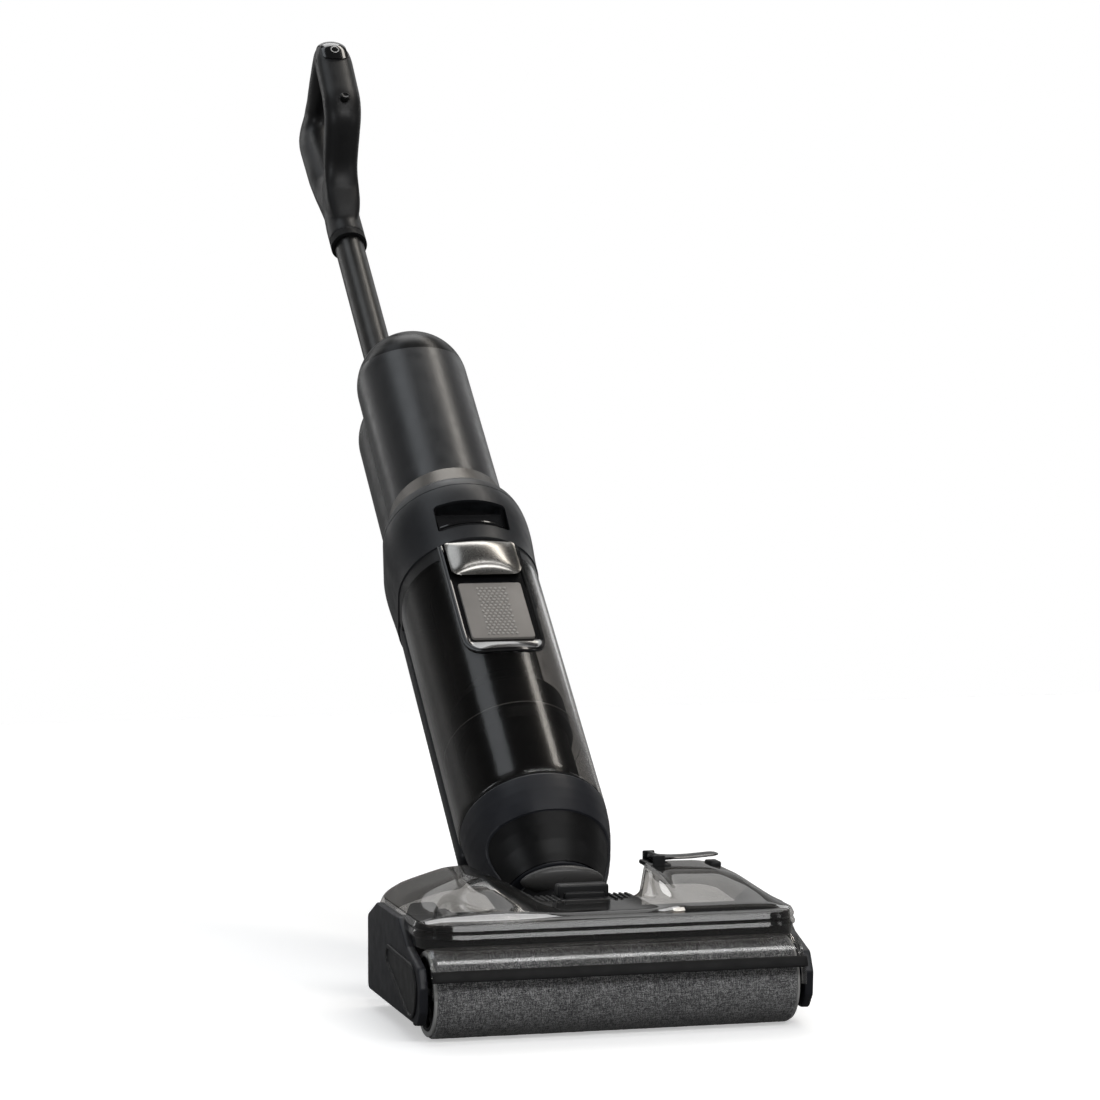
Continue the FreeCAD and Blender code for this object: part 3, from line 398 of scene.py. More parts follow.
def moulded(name, colour, roughness, grain=0.35, depth=0.02, mottling=0.12, edge=0, specular=0.3, coat=0):
    """Moulded plastic or rubber: fine grain in the surface, slight colour drift, rubbed patches."""
    made, tree, shader = new_material(name)
    fill_sockets(tree, shader, {"Specular IOR Level": specular, "Coat Weight": coat}, {
        "Base Color": drifting(tree, 28, 4, colour, mottling),
        "Roughness": spread(tree, noise_value(tree, 9, 5), roughness, 0.12)})
    bumped(tree, shader, noise_value(tree, grain, 2), depth, edge)
    return made


def metal(name, colour, roughness, stretch=(1, 1, 1), grain=0.25, depth=0.008, edge=0):
    """Metal with a brushed or blasted finish; stretch draws the grain out along an axis."""
    made, tree, shader = new_material(name)
    fine = noise_value(tree, grain, 3, stretch)
    fill_sockets(tree, shader, {"Metallic": 1}, {"Base Color": drifting(tree, 20, 3, colour, 0.1),
                                                 "Roughness": spread(tree, fine, roughness, 0.2)})
    bumped(tree, shader, fine, depth, edge)
    return made


def smoked(name, tint, haze, haze_share, roughness, facing):
    """Smoked clear plastic: each face darkens what is behind it, under a thin haze and a gloss.

    The gloss grows from its share facing the viewer to the whole at grazing angles.
    """
    made, tree, shader = new_material(name)
    fill_sockets(tree, shader, {"Base Color": (*haze, 1), "Roughness": 0.3, "Specular IOR Level": 0})
    clear = add_node(tree, "ShaderNodeBsdfTransparent", (), {"Color": drifting(tree, 40, 3, tint, 0.07)})
    body = add_node(tree, "ShaderNodeMixShader", {"Fac": haze_share},
                    {1: clear.outputs[0], 2: shader.outputs[0]})
    scratched = spread(tree, noise_value(tree, 3, 6), roughness, 0.1)
    gloss = add_node(tree, "ShaderNodeBsdfGlossy", {"Color": (1, 1, 1, 1)}, {"Roughness": scratched})
    slant = add_node(tree, "ShaderNodeLayerWeight", {"Blend": 0.5})
    steep = add_node(tree, "ShaderNodeMath", {1: 5}, {0: slant.outputs["Facing"]}, operation="POWER")
    edge = add_node(tree, "ShaderNodeMapRange", {"To Min": facing}, {"Value": steep.outputs[0]})
    whole = add_node(tree, "ShaderNodeMixShader", (),
                     {"Fac": edge.outputs[0], 1: body.outputs[0], 2: gloss.outputs[0]})
    tree.links.new(whole.outputs[0], tree.nodes["Material Output"].inputs["Surface"])
    return made


def plush_fabric(name):
    """Heather plush: pale and dark fibres mixed, lying in fine streaks both ways, with a soft sheen."""
    made, tree, shader = new_material(name)
    along = noise_value(tree, 0.65, 2, (7, 1, 1))
    around = noise_value(tree, 0.65, 2, (1, 6, 6))
    streaks = add_node(tree, "ShaderNodeMath", (), {0: along, 1: around}, operation="ADD")
    halved = add_node(tree, "ShaderNodeMath", {1: 0.5}, {0: streaks.outputs[0]}, operation="MULTIPLY")
    mixed = add_node(tree, "ShaderNodeMix", {"Factor": 0.5},
                     {"A": noise_value(tree, 0.7, 4), "B": halved.outputs[0]}, data_type="FLOAT")
    colours = ramp(tree, mixed.outputs["Result"], [
        (0.4, (0.03, 0.031, 0.033)), (0.5, (0.14, 0.14, 0.142)), (0.6, (0.42, 0.42, 0.42))])
    worn = ramp(tree, noise_value(tree, 24, 3), [(NOISE_LOW, (0.75, 0.75, 0.75)), (NOISE_HIGH, (1, 1, 1))])
    shaded = add_node(tree, "ShaderNodeMix", {"Factor": 0.5}, {"A": colours, "B": worn},
                      data_type="RGBA", blend_type="MULTIPLY")
    fill_sockets(tree, shader, {"Roughness": 0.95, "Sheen Weight": 0.35, "Sheen Roughness": 0.45},
                 {"Base Color": shaded.outputs["Result"]})
    bumped(tree, shader, mixed.outputs["Result"], 0.5)
    return made


BLACK = (0.011, 0.0112, 0.012)
NAVY = (0.0125, 0.0135, 0.0175)
SLATE = (0.017, 0.018, 0.0205)

black_satin = moulded("black_satin", BLACK, 0.42, edge=0.7)
black_handle = moulded("black_handle", (0.009, 0.009, 0.0095), 0.4, grain=0.3, depth=0.012)
navy_satin = moulded("navy_satin", NAVY, 0.42, grain=0.3, depth=0.012)
slate_satin = moulded("slate_satin", SLATE, 0.4, grain=0.3, depth=0.012)
barrel_finish = moulded("barrel_finish", (0.016, 0.0168, 0.0185), 0.33, grain=0.25, depth=0.008,
                        mottling=0.06, specular=0.55)
cap_finish = moulded("cap_finish", (0.004, 0.004, 0.0042), 0.3, grain=0.3, depth=0.008, specular=0.16)
gloss_black = moulded("gloss_black", (0.005, 0.005, 0.0055), 0.16, grain=2, depth=0.004, coat=0.5)
scoop_black = moulded("scoop_black", (0.003, 0.003, 0.0033), 0.38, grain=0.3, depth=0.01, specular=0.2)
rubber_black = moulded("rubber_black", (0.008, 0.008, 0.0083), 0.55, grain=0.5, depth=0.03, edge=0.4,
                       specular=0.15)
tyre_black = moulded("tyre_black", (0.016, 0.016, 0.0165), 0.75, grain=0.6, depth=0.06)
pale_plastic = moulded("pale_plastic", (0.42, 0.42, 0.41), 0.5, edge=0.5)
plate_grey = moulded("plate_grey", (0.24, 0.225, 0.21), 0.55, grain=0.4, depth=0.02, mottling=0.06)
# The dots' grey is the plate's grey made lighter: a painted highlight for the light the raised dots catch.
dot_painted_highlight = moulded("dot_painted_highlight", (0.36, 0.345, 0.325), 0.45, grain=0.4, depth=0.01, mottling=0.05)
neck_paint = moulded("neck_paint", (0.075, 0.074, 0.073), 0.3, grain=0.2, depth=0.006, mottling=0.08)
board_green = moulded("board_green", (0.01, 0.06, 0.025), 0.4, edge=0.3)
tank_grey = moulded("tank_grey", (0.05, 0.05, 0.05), 0.38, grain=0.3, depth=0.01, mottling=0.08)
steel = metal("steel", (0.45, 0.45, 0.46), 0.3, (12, 1, 1), edge=0.4)
dark_steel = metal("dark_steel", (0.035, 0.035, 0.037), 0.5, edge=0.6)
band_metal = metal("band_metal", (0.085, 0.079, 0.071), 0.36, grain=0.2)
tube_metal = metal("tube_metal", (0.055, 0.054, 0.053), 0.36, grain=0.2)
cell_metal = metal("cell_metal", (0.3, 0.32, 0.36), 0.35, edge=0.4)
dark_chrome = metal("dark_chrome", (0.3, 0.29, 0.275), 0.26, grain=0.3, depth=0.001)
smoked_cover = smoked("smoked_cover", (0.55, 0.54, 0.525), (0.1, 0.1, 0.097), 0.08, 0.04, 0.075)
smoked_rim = smoked("smoked_rim", (0.6, 0.59, 0.58), (0.08, 0.08, 0.08), 0.1, 0.13, 0.04)
clear_shield = smoked("clear_shield", (0.95, 0.95, 0.94), (0.15, 0.15, 0.15), 0.03, 0.1, 0.06)
smoked_tank = smoked("smoked_tank", (0.6, 0.59, 0.58), (0.01, 0.01, 0.01), 0.06, 0.17, 0.035)
smoked_back = moulded("smoked_back", (0.33, 0.325, 0.31), 0.45, specular=0.2)
plush = plush_fabric("plush")


# ---------------------------------------------------------------- roller

ROLLER = Vector(joints["roller_spin"]["pos_m"]) / MM


def make_plush_sleeve():
    """A plush sleeve with its pile standing unevenly and its ends rolled over."""
    low, high = local_box("roller_fabric")
    core = local_box("roller_core")[1].z - ROLLER.z
    radius = (high.z - low.z) / 2
    roll = 2.2
    pile, tuft = 0.5, 0.85
    swell, patch = 0.12, 0.12
    ends = steps(0, math.pi / 2, 5)
    inside = radius - roll
    profile = [(inside + roll * math.sin(angle), low.x + roll - roll * math.cos(angle)) for angle in ends]
    profile += [(radius, along) for along in steps(low.x + roll, high.x - roll, 190)[1:-1]]
    profile += [(inside + roll * math.cos(angle), high.x - roll + roll * math.sin(angle)) for angle in ends]
    rows = []
    for angle in turns(300):
        row = [ROLLER + around_x(low.x, core, angle)]
        for size, along in profile:
            place = around_x(along, size, angle)
            depth = pile * (0.5 + 0.5 * noise.noise(place * tuft)) + swell * noise.noise(place * patch)
            row.append(ROLLER + around_x(along, size - max(depth, 0), angle))
        row.append(ROLLER + around_x(high.x, core, angle))
        rows.append(row)
    made = Surface().grid(rows, across_closed=True, along_closed=True).build("plush_sleeve")
    finish_piece(made, plush, "roller", ["roller_fabric"], angle=80)


def make_roller_ends():
    """A pale ring at each end of the sleeve, and on the left a dark spoked hub."""
    low, high = local_box("roller_fabric")
    plug_low = local_box("roller_end_plug")[0]
    centre = Vector((0, ROLLER.y, ROLLER.z))
    for side, edge, name in ((-1, low.x, "left"), (1, high.x, "right")):
        ring = [(28.4, edge), (28.4, edge + side * 1.1), (27.8, edge + side * 1.7), (25.2, edge + side * 1.7),
                (24.7, edge + side * 1.2), (24.7, edge)]
        made = Surface().turned(ring, centre=centre, count=96).build(f"roller_ring_{name}")
        finish_piece(made, pale_plastic, "roller")
    face = low.x - 1.6
    web, boss, back = low.x + 2, face - 0.6, low.x + 6
    hub = Surface().turned([(24.5, low.x), (24.5, face), (22.2, face), (21.6, web), (8.4, web), (8, boss),
                            (5, boss), (4, face), (4, plug_low.x), (0, plug_low.x), (0, back),
                            (15, back), (15, low.x)], centre=centre, count=96)
    spoke = Surface().soft_block((face + 0.1, low.x + 2.5), (-1.1, 1.1), (7, 22.6), 0.4)
    hub.repeated(spoke, 8, centre)
    finish_piece(hub.build("roller_hub"), black_satin, "roller", ["roller_end_plug"])


# ---------------------------------------------------------------- head

def on_side(side, level):
    """Turns (rear, up, outward) into a point on the left (-1) or right (+1) side, outward from level."""
    return lambda rear, up, outward: Vector((side * (level + outward), rear, up))


def make_side_walls():
    """Each side wall's outline with its corners rounded and its edges softened."""
    for side, name in ((-1, "left"), (1, "right")):
        low, high = local_box(f"side_wall_{name}")
        outer = max(abs(low.x), abs(high.x))
        inner = min(abs(low.x), abs(high.x))
        corners = {(round(point.y, 2), round(point.z, 2)) for point in local_points(f"side_wall_{name}", HEAD)
                   if abs(abs(point.x) - outer) < 0.05}
        middle = Vector(((low.y + high.y) / 2, (low.z + high.z) / 2))
        ordered = sorted(corners, key=lambda corner: math.atan2(corner[1] - middle.y, corner[0] - middle.x))
        outline = rounded_outline([(rear, up, 5) for rear, up in ordered])
        made = Surface().plate(outline, (0, outer - inner), on_side(side, inner)).build(f"side_shell_{name}")
        soften(made, 1.3)
        finish_piece(made, navy_satin, "head", [f"side_wall_{name}"])


def make_end_caps():
    """A raised oval rim over each roller end, wide at the roller and narrow towards the rear."""
    high = local_box("roller_end_caps")[1]
    wall = local_box("side_wall_right")[1].x
    proud = high.x - wall
    front, rear, length, rise = 19, 8, 64, 13
    centre = Vector((ROLLER.y, ROLLER.z + 3))
    tilt = Matrix.Rotation(math.atan2(rise, length), 2)
    profile = [(0, 0), (0, 0.7), (0.5, 1), (2.4, 1), (3, 0.7), (3.4, 0.3), (5.5, 0.25), (6.5, 0.25)]
    for side, name in ((-1, "left"), (1, "right")):
        cap = Surface()
        rows = []
        for inward, share in profile:
            ring = egg_ring(front, rear, length, 96, inward)
            turned = [centre + tilt @ Vector((point.y, point.x)) for point in ring]
            rows.append([Vector((side * (wall + proud * share), point.x, point.y)) for point in turned])
        cap.tube(rows)
        made = cap.build(f"roller_end_cap_{name}")
        finish_piece(made, black_satin, "head", ["roller_end_caps"], angle=25)


def make_wheels():
    """Each wheel's tyre, grooved across its tread, and its hub with six spokes."""
    grooves, groove_depth, between_grooves = 36, 0.9, 4
    bore, boss, deep = 4.1, 8, 3.5
    for name in ("left", "right"):
        low, high = local_box(f"tyre_{name}")
        hub_high = local_box(f"wheel_hub_{name}")[1]
        centre = Vector((0, (low.y + high.y) / 2, (low.z + high.z) / 2))
        radius = (high.z - low.z) / 2
        hub = hub_high.z - centre.z
        rows = []
        for index, angle in enumerate(turns(grooves * between_grooves)):
            size = radius - (groove_depth if index % between_grooves == 0 else 0)
            half = [(hub, 0), (size - 2, 0), (size - 0.6, 0.8), (size, 2.4)]
            profile = [(out, low.x + inward) for out, inward in half]
            profile += [(out, high.x - inward) for out, inward in reversed(half)]
            rows.append([centre + around_x(along, out, angle) for out, along in profile])
        made = Surface().grid(rows, across_closed=True, along_closed=True).build(f"ribbed_tyre_{name}")
        finish_piece(made, tyre_black, f"wheel_{name}", [f"tyre_{name}"])
        half = [(hub, 0.6), (hub - 2, 0.6), (hub - 2.6, deep), (boss, deep), (boss - 0.6, 0), (bore, 0)]
        profile = [(out, high.x - inward) for out, inward in half]
        profile += [(out, low.x + inward) for out, inward in reversed(half)]
        rim = Surface().turned(profile, centre=centre, count=72)
        spoke = Surface().soft_block((low.x + 1, high.x - 1), (-1.5, 1.5), (7, hub - 1.4), 0.5)
        rim.repeated(spoke, 6, centre)
        finish_piece(rim.build(f"spoked_hub_{name}"), black_satin, f"wheel_{name}",
                     [f"wheel_hub_{name}"])


def make_neck_trim():
    """The dark frame in the cover's cut-out: a ribbed ledge and a raised block."""
    low, high = local_box("neck_trim")
    ledge = 80
    trim = Surface()
    trim.soft_block((low.x, high.x), (low.y, high.y), (ledge - 3, ledge), 1.2)
    trim.soft_block((low.x, high.x), (low.y, low.y + 2.6), (low.z, ledge - 1), 0.8)
    trim.soft_block((-18, 18), (12, high.y), (ledge - 1, high.z), 1.6)
    trim.soft_block((-14, 14), (8.5, 13), (ledge - 1, ledge + 4), 1)
    rib = 0.8
    for place in steps(-32, 32, 16):
        if abs(place) > 19:
            trim.soft_block((place - rib, place + rib), (low.y + 3, high.y - 3),
                            (ledge - 0.6, ledge + 1.4), 0.4)
    finish_piece(trim.build("neck_frame"), black_satin, "head", ["neck_trim"])


# ---------------------------------------------------------------- cover

LEFT_RIDGE = [(-131, 0), (-108, 8.5), (-84, 15.5), (-68, 16.5), (-50, 9.5), (-34, 2), (-24, 0)]
RIGHT_RIDGE = [(24, 0), (34, 3), (44, 13), (51, 19.5), (59, 14), (74, 14), (100, 13.6), (114, 10.5), (131, 0)]
RIM_OUT = 2.6


def cover_plan():
    """The cover's U-shaped outline seen from above, turning left."""
    low, high = local_box("roller_cover")
    left, right = low.x + RIM_OUT, high.x - RIM_OUT
    front, back = -70 + RIM_OUT, high.y - RIM_OUT
    return [(left, front, 26), (right, front, 26), (right, back, 16), (66, back, 5), (37, 0, 9), (-37, 0, 9),
            (-66, back, 5), (left, back, 16)]


def cover_height(x, y):
    """The cover's top: a flat middle, two domes rising to the rear, a step and a groove along the front."""
    deck, cut_out_half = 78.4, 24
    rise = straight(LEFT_RIDGE if x < 0 else RIGHT_RIDGE, x)
    dome = rise * ease(y, -60, 34) ** 0.8 if abs(x) > cut_out_half else 0
    step = 1.8 * ease(y, -53, -50.5)
    groove = 1.4 * ease(y, -61.5, -60) * (1 - ease(y, -59, -57.5))
    side = max(abs(x) - 112, 0) / 19
    front = max(-y - 56, 0) / 12
    return deck + dome + step - groove - 2.6 * side ** 2 - 1.4 * front ** 2


def smoothed(values, rounds):
    """The values with each but the first and last drawn towards its neighbours, that many times."""
    for _ in range(rounds):
        inner = [(a + 2 * b + c) / 4 for a, b, c in zip(values, values[1:], values[2:])]
        values = [values[0], *inner, values[-1]]
    return values


def make_cover_deck(outline):
    """The cover's thin top, a mesh of points about a pitch apart inside its outline."""
    pitch, clear_of_edge, wall = 3, 1.6, 2
    inside = [Vector((across, rear)) for across in steps(-130, 130, 260 // pitch)
              for rear in steps(-66, 74, 140 // pitch)]
    kept = [point for point in inside if min((point - edge).length for edge in outline) > clear_of_edge]
    count = len(outline)
    border = [(index, (index + 1) % count) for index in range(count)]
    flat, _, faces, _, _, _ = delaunay_2d_cdt(outline + kept, border, [], 1, 1e-4)
    deck = Surface()
    deck.points = [Vector((point.x, point.y, cover_height(point.x, point.y))) for point in flat]
    deck.faces = [tuple(face) for face in faces]
    made = deck.build("cover_deck")
    even = made.modifiers.new("even", "SMOOTH")
    even.factor = 0.5
    even.iterations = 3
    apply(made)
    face_towards(made, UP)
    thicken(made, wall)
    finish_piece(made, smoked_cover, "cover", ["roller_cover"], angle=50)


def make_cover_rim(outline):
    """The cover's lipped and grooved wall, lower and thinner in the cut-out for the neck."""
    heights = smoothed([cover_height(point.x, point.y) for point in outline], 3)
    profile = [(-1.2, -0.6), (-0.5, 0.1), (0.1, 0), (0.6, -0.9), (1.9, -3.5), (1.6, -4.2), (0.8, -4.7),
               (0.8, -5.3), (1.1, -5.6), (1.5, -6.3), (2.6, -8.7), (2.3, -9.6), (0.8, -10.2), (0.6, -16.6),
               (-0.8, -16.6), (-0.8, -9), (-1.2, -3)]
    rows = []
    ahead = [*outline[1:], outline[0]]
    for before, here, after, top in zip([outline[-1], *outline], outline, ahead, heights):
        along = (after - before).normalized()
        outward = Vector((along.y, -along.x))
        notch = 1 - ease(abs(here.x), 60, 74) if here.y > -2 else 0
        deep = 1 - 0.62 * notch
        wide = 1 - 0.5 * notch
        rows.append([Vector((*(here + outward * out * wide), top + up * deep)) for out, up in profile])
    made = Surface().grid(rows, across_closed=True, along_closed=True).build("cover_rim")
    finish_piece(made, smoked_rim, "cover", ["roller_cover"], angle=30)


def make_cover():
    """The smoked cover: its domed top and the rim round it."""
    outline = resampled(rounded_outline(cover_plan(), arc_steps=9), 3)
    make_cover_deck(outline)
    make_cover_rim(outline)


def on_wrap(along, radius, angle):
    """A point at that angle above straight ahead, round the roller's axis."""
    return Vector((along, ROLLER.y - radius * math.cos(angle), ROLLER.z + radius * math.sin(angle)))


def make_wrap():
    """The clear shield that curves round the roller's front, with rounded ends, and its rubber lip."""
    radius, half, wall = 37.3, 128, 1.9
    top, bottom = 62.5, 43.4
    tuck, tuck_width = 2.2, 5
    angles = [math.asin((up - ROLLER.z) / radius) for up in steps(top, bottom, 16)]
    rows = []
    for angle in angles:
        rows.append([on_wrap(along, radius - tuck * ease(abs(along), half - tuck_width, half) ** 2, angle)
                     for along in steps(-half, half, 86)])
    shield = Surface().grid(rows).build("roller_shield")
    face_towards(shield, FORWARD)
    thicken(shield, wall)
    finish_piece(shield, clear_shield, "cover", ["roller_cover"], angle=50)
    end_profile = ((30.6, 126.2), (34.4, 126), (35.2, 126.6), (35.2, 128), (34.4, 128.6), (30.6, 128.4))
    for side, name in ((-1, "left"), (1, "right")):
        rim = [[on_wrap(side * along, size, angle) for size, along in end_profile]
               for angle in steps(angles[0], math.radians(2), 20)]
        made = Surface().tube(rim).build(f"shield_end_{name}")
        finish_piece(made, clear_shield, "cover", ["roller_cover"])
    low, high = local_box("cover_strip")
    lip_profile = ((37.4, high.z), (38.3, high.z - 0.3), (38.8, high.z - 1.4), (38.9, low.z + 1.6),
                   (38.6, low.z + 0.3), (38, low.z), (37.4, low.z + 0.4))
    lip = []
    for along in (low.x, low.x + 0.6, *steps(low.x + 4, high.x - 4, 40), high.x - 0.6, high.x):
        narrow = 0.5 if abs(along) > high.x - 0.3 else 0
        row = []
        for out, up in lip_profile:
            point = on_wrap(along, out - narrow, math.asin((up - ROLLER.z) / out))
            point.z = up
            row.append(point)
        lip.append(row)
    finish_piece(Surface().tube(lip).build("cover_lip"), rubber_black, "cover", ["cover_strip"])


def make_latch():
    """A black paddle that tapers to a rounded tip, with a knuckle at its hinge."""
    low, high = local_box("cover_latch")
    middle_y = (low.y + high.y) / 2
    rows = []
    for share in steps(0, 1, 26):
        along = low.x + (high.x - low.x) * share
        tip = math.sqrt(max(1 - max((share - 0.86) / 0.14, 0) ** 2, 0.002))
        root = math.sqrt(max(1 - max((0.08 - share) / 0.08, 0) ** 2, 0.002))
        half = (11.2 - 3.4 * ease(share, 0.05, 0.4)) * tip * root
        thick = (2.2 - 1.0 * ease(share, 0, 0.35)) * tip * root
        middle_z = low.z + 2.3 + 0.9 * ease(share, 0.45, 1) - 0.5 * math.sin(math.pi * share)
        row = []
        for angle in turns(28):
            row.append(Vector((along, middle_y + half * signed_power(math.cos(angle), 0.7),
                               middle_z + thick * signed_power(math.sin(angle), 0.8))))
        rows.append(row)
    paddle = Surface().tube(rows)
    knuckle = [(0, low.y), (2, low.y), (2.6, low.y + 0.6), (2.6, high.y - 0.6), (2, high.y), (0, high.y)]
    hinge = Vector(joints["latch_lift"]["pos_m"]) / MM
    paddle.turned(knuckle, axis="y", centre=(hinge.x, 0, hinge.z), count=32)
    finish_piece(paddle.build("latch_paddle"), gloss_black, "latch", ["cover_latch"])
    seat = Surface()
    back = local_box("roller_cover")[1].y
    for ear in ((low.y - 2.6, low.y - 0.5), (high.y + 0.4, back - 0.1)):
        seat.soft_block((hinge.x - 4.4, hinge.x + 4.4), ear, (91, hinge.z + 2.4), 0.8)
    seat.soft_block((hinge.x - 7, hinge.x + 9), (low.y - 2.6, back - 0.1), (92.6, 95.6), 1.1)
    seat.soft_block((104, 112), (low.y + 4, high.y - 4), (91, 94.6), 1.1)
    finish_piece(seat.build("latch_seat"), black_satin, "cover")


# ---------------------------------------------------------------- neck and lower housing

def make_neck_cap():
    """An oval cap with pointed ends, bulging forward over the neck's joint."""
    low, high = local_box("neck_cap", UPRIGHT)
    half, forward, tall = (high.x - low.x) / 2, 13, 7.5
    centre = Vector(((low.x + high.x) / 2, low.y + forward, high.z - tall))
    rows = []
    for share in steps(0, math.pi, 48):
        width = max(math.sin(share), 0.001) ** 1.25
        row = []
        for angle in turns(48):
            row.append(centre + Vector((-half * math.cos(share), forward * width * math.cos(angle),
                                        tall * width * math.sin(angle))))
        rows.append(row)
    made = Surface().tube(rows).build("neck_badge_cap", UPRIGHT)
    finish_piece(made, neck_paint, "neck", ["neck_cap"])


HOUSING = [(36, 12.3), (37.6, 13), (40, 20), (44, 30), (47.4, 41), (50, 52), (51.8, 61), (53, 70), (53.5, 78),
           (53.6, 82.6), (53, 83.5)]


def housing_radius(up):
    return straight([(height, radius) for radius, height in HOUSING], up)


def scoop_share(angle, up):
    """1 inside the arched scoop on the housing's front, 0 outside it."""
    half_angle = math.radians(74)
    arch_foot, arch_rise = 18, 33
    reach = abs(angle / half_angle) ** 7 + abs(max(up - arch_foot, 0) / arch_rise) ** 4
    return 1 - ease(reach, 0.88, 1.1)


def housing_rows(count, heights, depth, start=-math.pi, stop=math.pi):
    rows = []
    for up in heights:
        row = []
        for angle in steps(start, stop, count):
            size = housing_radius(up) - depth * scoop_share(angle, up)
            row.append(Vector((size * math.sin(angle), -size * math.cos(angle), up)))
        rows.append(row)
    return rows


def make_lower_housing():
    low, high = local_box("lower_housing", UPRIGHT)
    heights = [low.z, low.z + 0.4, *steps(low.z + 1.2, high.z - 1.2, 76), high.z - 0.4, high.z]
    hole = 18.5
    rows = housing_rows(256, heights, 2.6)
    inner = [Vector((point.x, point.y, 0)).normalized() * hole for point in rows[0]]
    rows.insert(0, [Vector((point.x, point.y, low.z)) for point in inner])
    rows.append([Vector((point.x, point.y, high.z)) for point in inner])
    made = Surface().grid(rows, along_closed=True).build("lower_shell", UPRIGHT)
    finish_piece(made, navy_satin, "upright", ["lower_housing"], angle=40)
    reach = math.radians(77)
    panel = housing_rows(128, steps(low.z + 1.5, 54, 48), 0, -reach, reach)
    inset = 1.3
    for row in panel:
        for point in row:
            flat = Vector((point.x, point.y, 0)).normalized() * inset
            point -= flat
    made = Surface().grid(panel).build("scoop_panel", UPRIGHT)
    face_towards(made, FORWARD)
    thicken(made, 0.8)
    finish_piece(made, scoop_black, "upright", ["front_panel"])
    seal = [(52.9, high.z), (53.4, high.z + 0.15), (53.4, high.z + 0.6), (52.9, high.z + 0.7)]
    made = Surface().turned(seal, axis="z", count=128).build("housing_seal", UPRIGHT)
    finish_piece(made, rubber_black, "upright")


# ---------------------------------------------------------------- dirty water tank

BODY_FRONT, BODY_REAR, BODY_DEPTH = 53.6, 48.5, 35
WINDOW_HALF, WINDOW_FOOT = 31, 208.6
PLATE_RISE = 8


def on_tank(across, up, outward):
    """Bends a flat pattern round the tank's front."""
    size = BODY_FRONT + outward
    angle = across / BODY_FRONT
    return Vector((size * math.sin(angle), -size * math.cos(angle), up))


def half_section(front, seam):
    """The body's section in front of or behind the seam, with its two corners at the seam rounded."""
    pitch, rounds, corner_reach = 3, 4, 9
    ring = resampled(egg_ring(BODY_FRONT, BODY_REAR, BODY_DEPTH, 200), pitch)
    kept = [point for point in ring if (point.y < seam) == front]
    start = max(range(len(kept)), key=lambda index: (kept[index] - kept[index - 1]).length)
    kept = kept[start:] + kept[:start]
    ring = kept + [kept[-1].lerp(kept[0], share) for share in steps(0, 1, 16)[1:-1]]
    count = len(ring)
    for _ in range(rounds):
        ring = [(ring[index - 1] + ring[index] * 2 + ring[(index + 1) % count]) / 4
                if abs(ring[index].y - seam) < corner_reach else ring[index] for index in range(count)]
    return ring


def window_edge(top, inset=0):
    """The window's outline from its top right corner down round its foot to the top left."""
    half, foot = WINDOW_HALF - inset, WINDOW_FOOT + inset
    right = [(half, top), (half, foot + 22), (half - 1.2, foot + 13), (half - 6, foot + 5.5),
             (half - 14, foot + 1.8), (0, foot)]
    corners = [Vector(point) for point in right]
    corners += [Vector((-point.x, point.y)) for point in reversed(corners[:-1])]
    curve = [corners[0]]
    for before, here, after in zip(corners, corners[1:], corners[2:]):
        start = here.lerp(before, 0.2 if before is corners[0] else 0.5)
        stop = here.lerp(after, 0.2 if after is corners[-1] else 0.5)
        for share in steps(0, 1, 6):
            curve.append(start.lerp(here, share).lerp(here.lerp(stop, share), share))
    curve.append(corners[-1])
    spaced = [point for point, after in zip(curve, curve[1:]) if (point - after).length > 0.3]
    return resampled([*spaced, curve[-1]], 5, closed=False)


def upright_plane(across, up, depth):
    """A place for Surface.plate that stands its outline up, with depth to the rear."""
    return Vector((across, depth, up))


def make_tank():
    """The smoked shell with its window cut out, the wall at its back and the fill line inside it."""
    low, high = local_box("dirty_tank_shell", UPRIGHT)
    seam = high.y
    ring = half_section(True, seam)
    middle = Vector((0, 8))
    rows = []
    for inset, up in ((5, low.z), (2, low.z + 0.3), (0.6, low.z + 1.2), (0, low.z + 3)):
        rows.append([Vector((point.x, point.y, up)) for point in drawn_in(ring, middle, inset)])
    for up in steps(low.z + 3, high.z, 40)[1:]:
        rows.append([Vector((point.x, point.y, up)) for point in ring])
    shell = Surface().grid(rows, across_closed=True, cap_start=True).build("tank_shell", UPRIGHT)
    thicken(shell, 2.2)
    edge = window_edge(high.z + 20, 0.4)
    tool = Surface().plate(edge, (-90, -43), lambda across, up, depth: upright_plane(
        BODY_FRONT * math.sin(across / BODY_FRONT), up, depth))
    carve(shell, tool.build("window_tool", UPRIGHT))
    finish_piece(shell, smoked_tank, "dirty_tank", ["dirty_tank_shell"], angle=40)
    wall_half = 48.5
    back = Surface().plate(rectangle((-wall_half, wall_half), (low.z + 4, high.z - 3), 4),
                           (seam - 3.4, seam - 2.6), upright_plane)
    finish_piece(back.build("tank_back_wall", UPRIGHT), smoked_back, "dirty_tank")
    mark = 157
    line = [(-2.6, mark), (-2.3, mark + 0.5), (-2.3, mark + 0.9), (-2.6, mark + 1.2)]
    mark_half = math.radians(115) * BODY_FRONT
    rows = [[on_tank(across, up, outward) for outward, up in line]
            for across in steps(-mark_half, mark_half, 90)]
    made = Surface().tube(rows).build("fill_mark", UPRIGHT)
    finish_piece(made, pale_plastic, "dirty_tank")


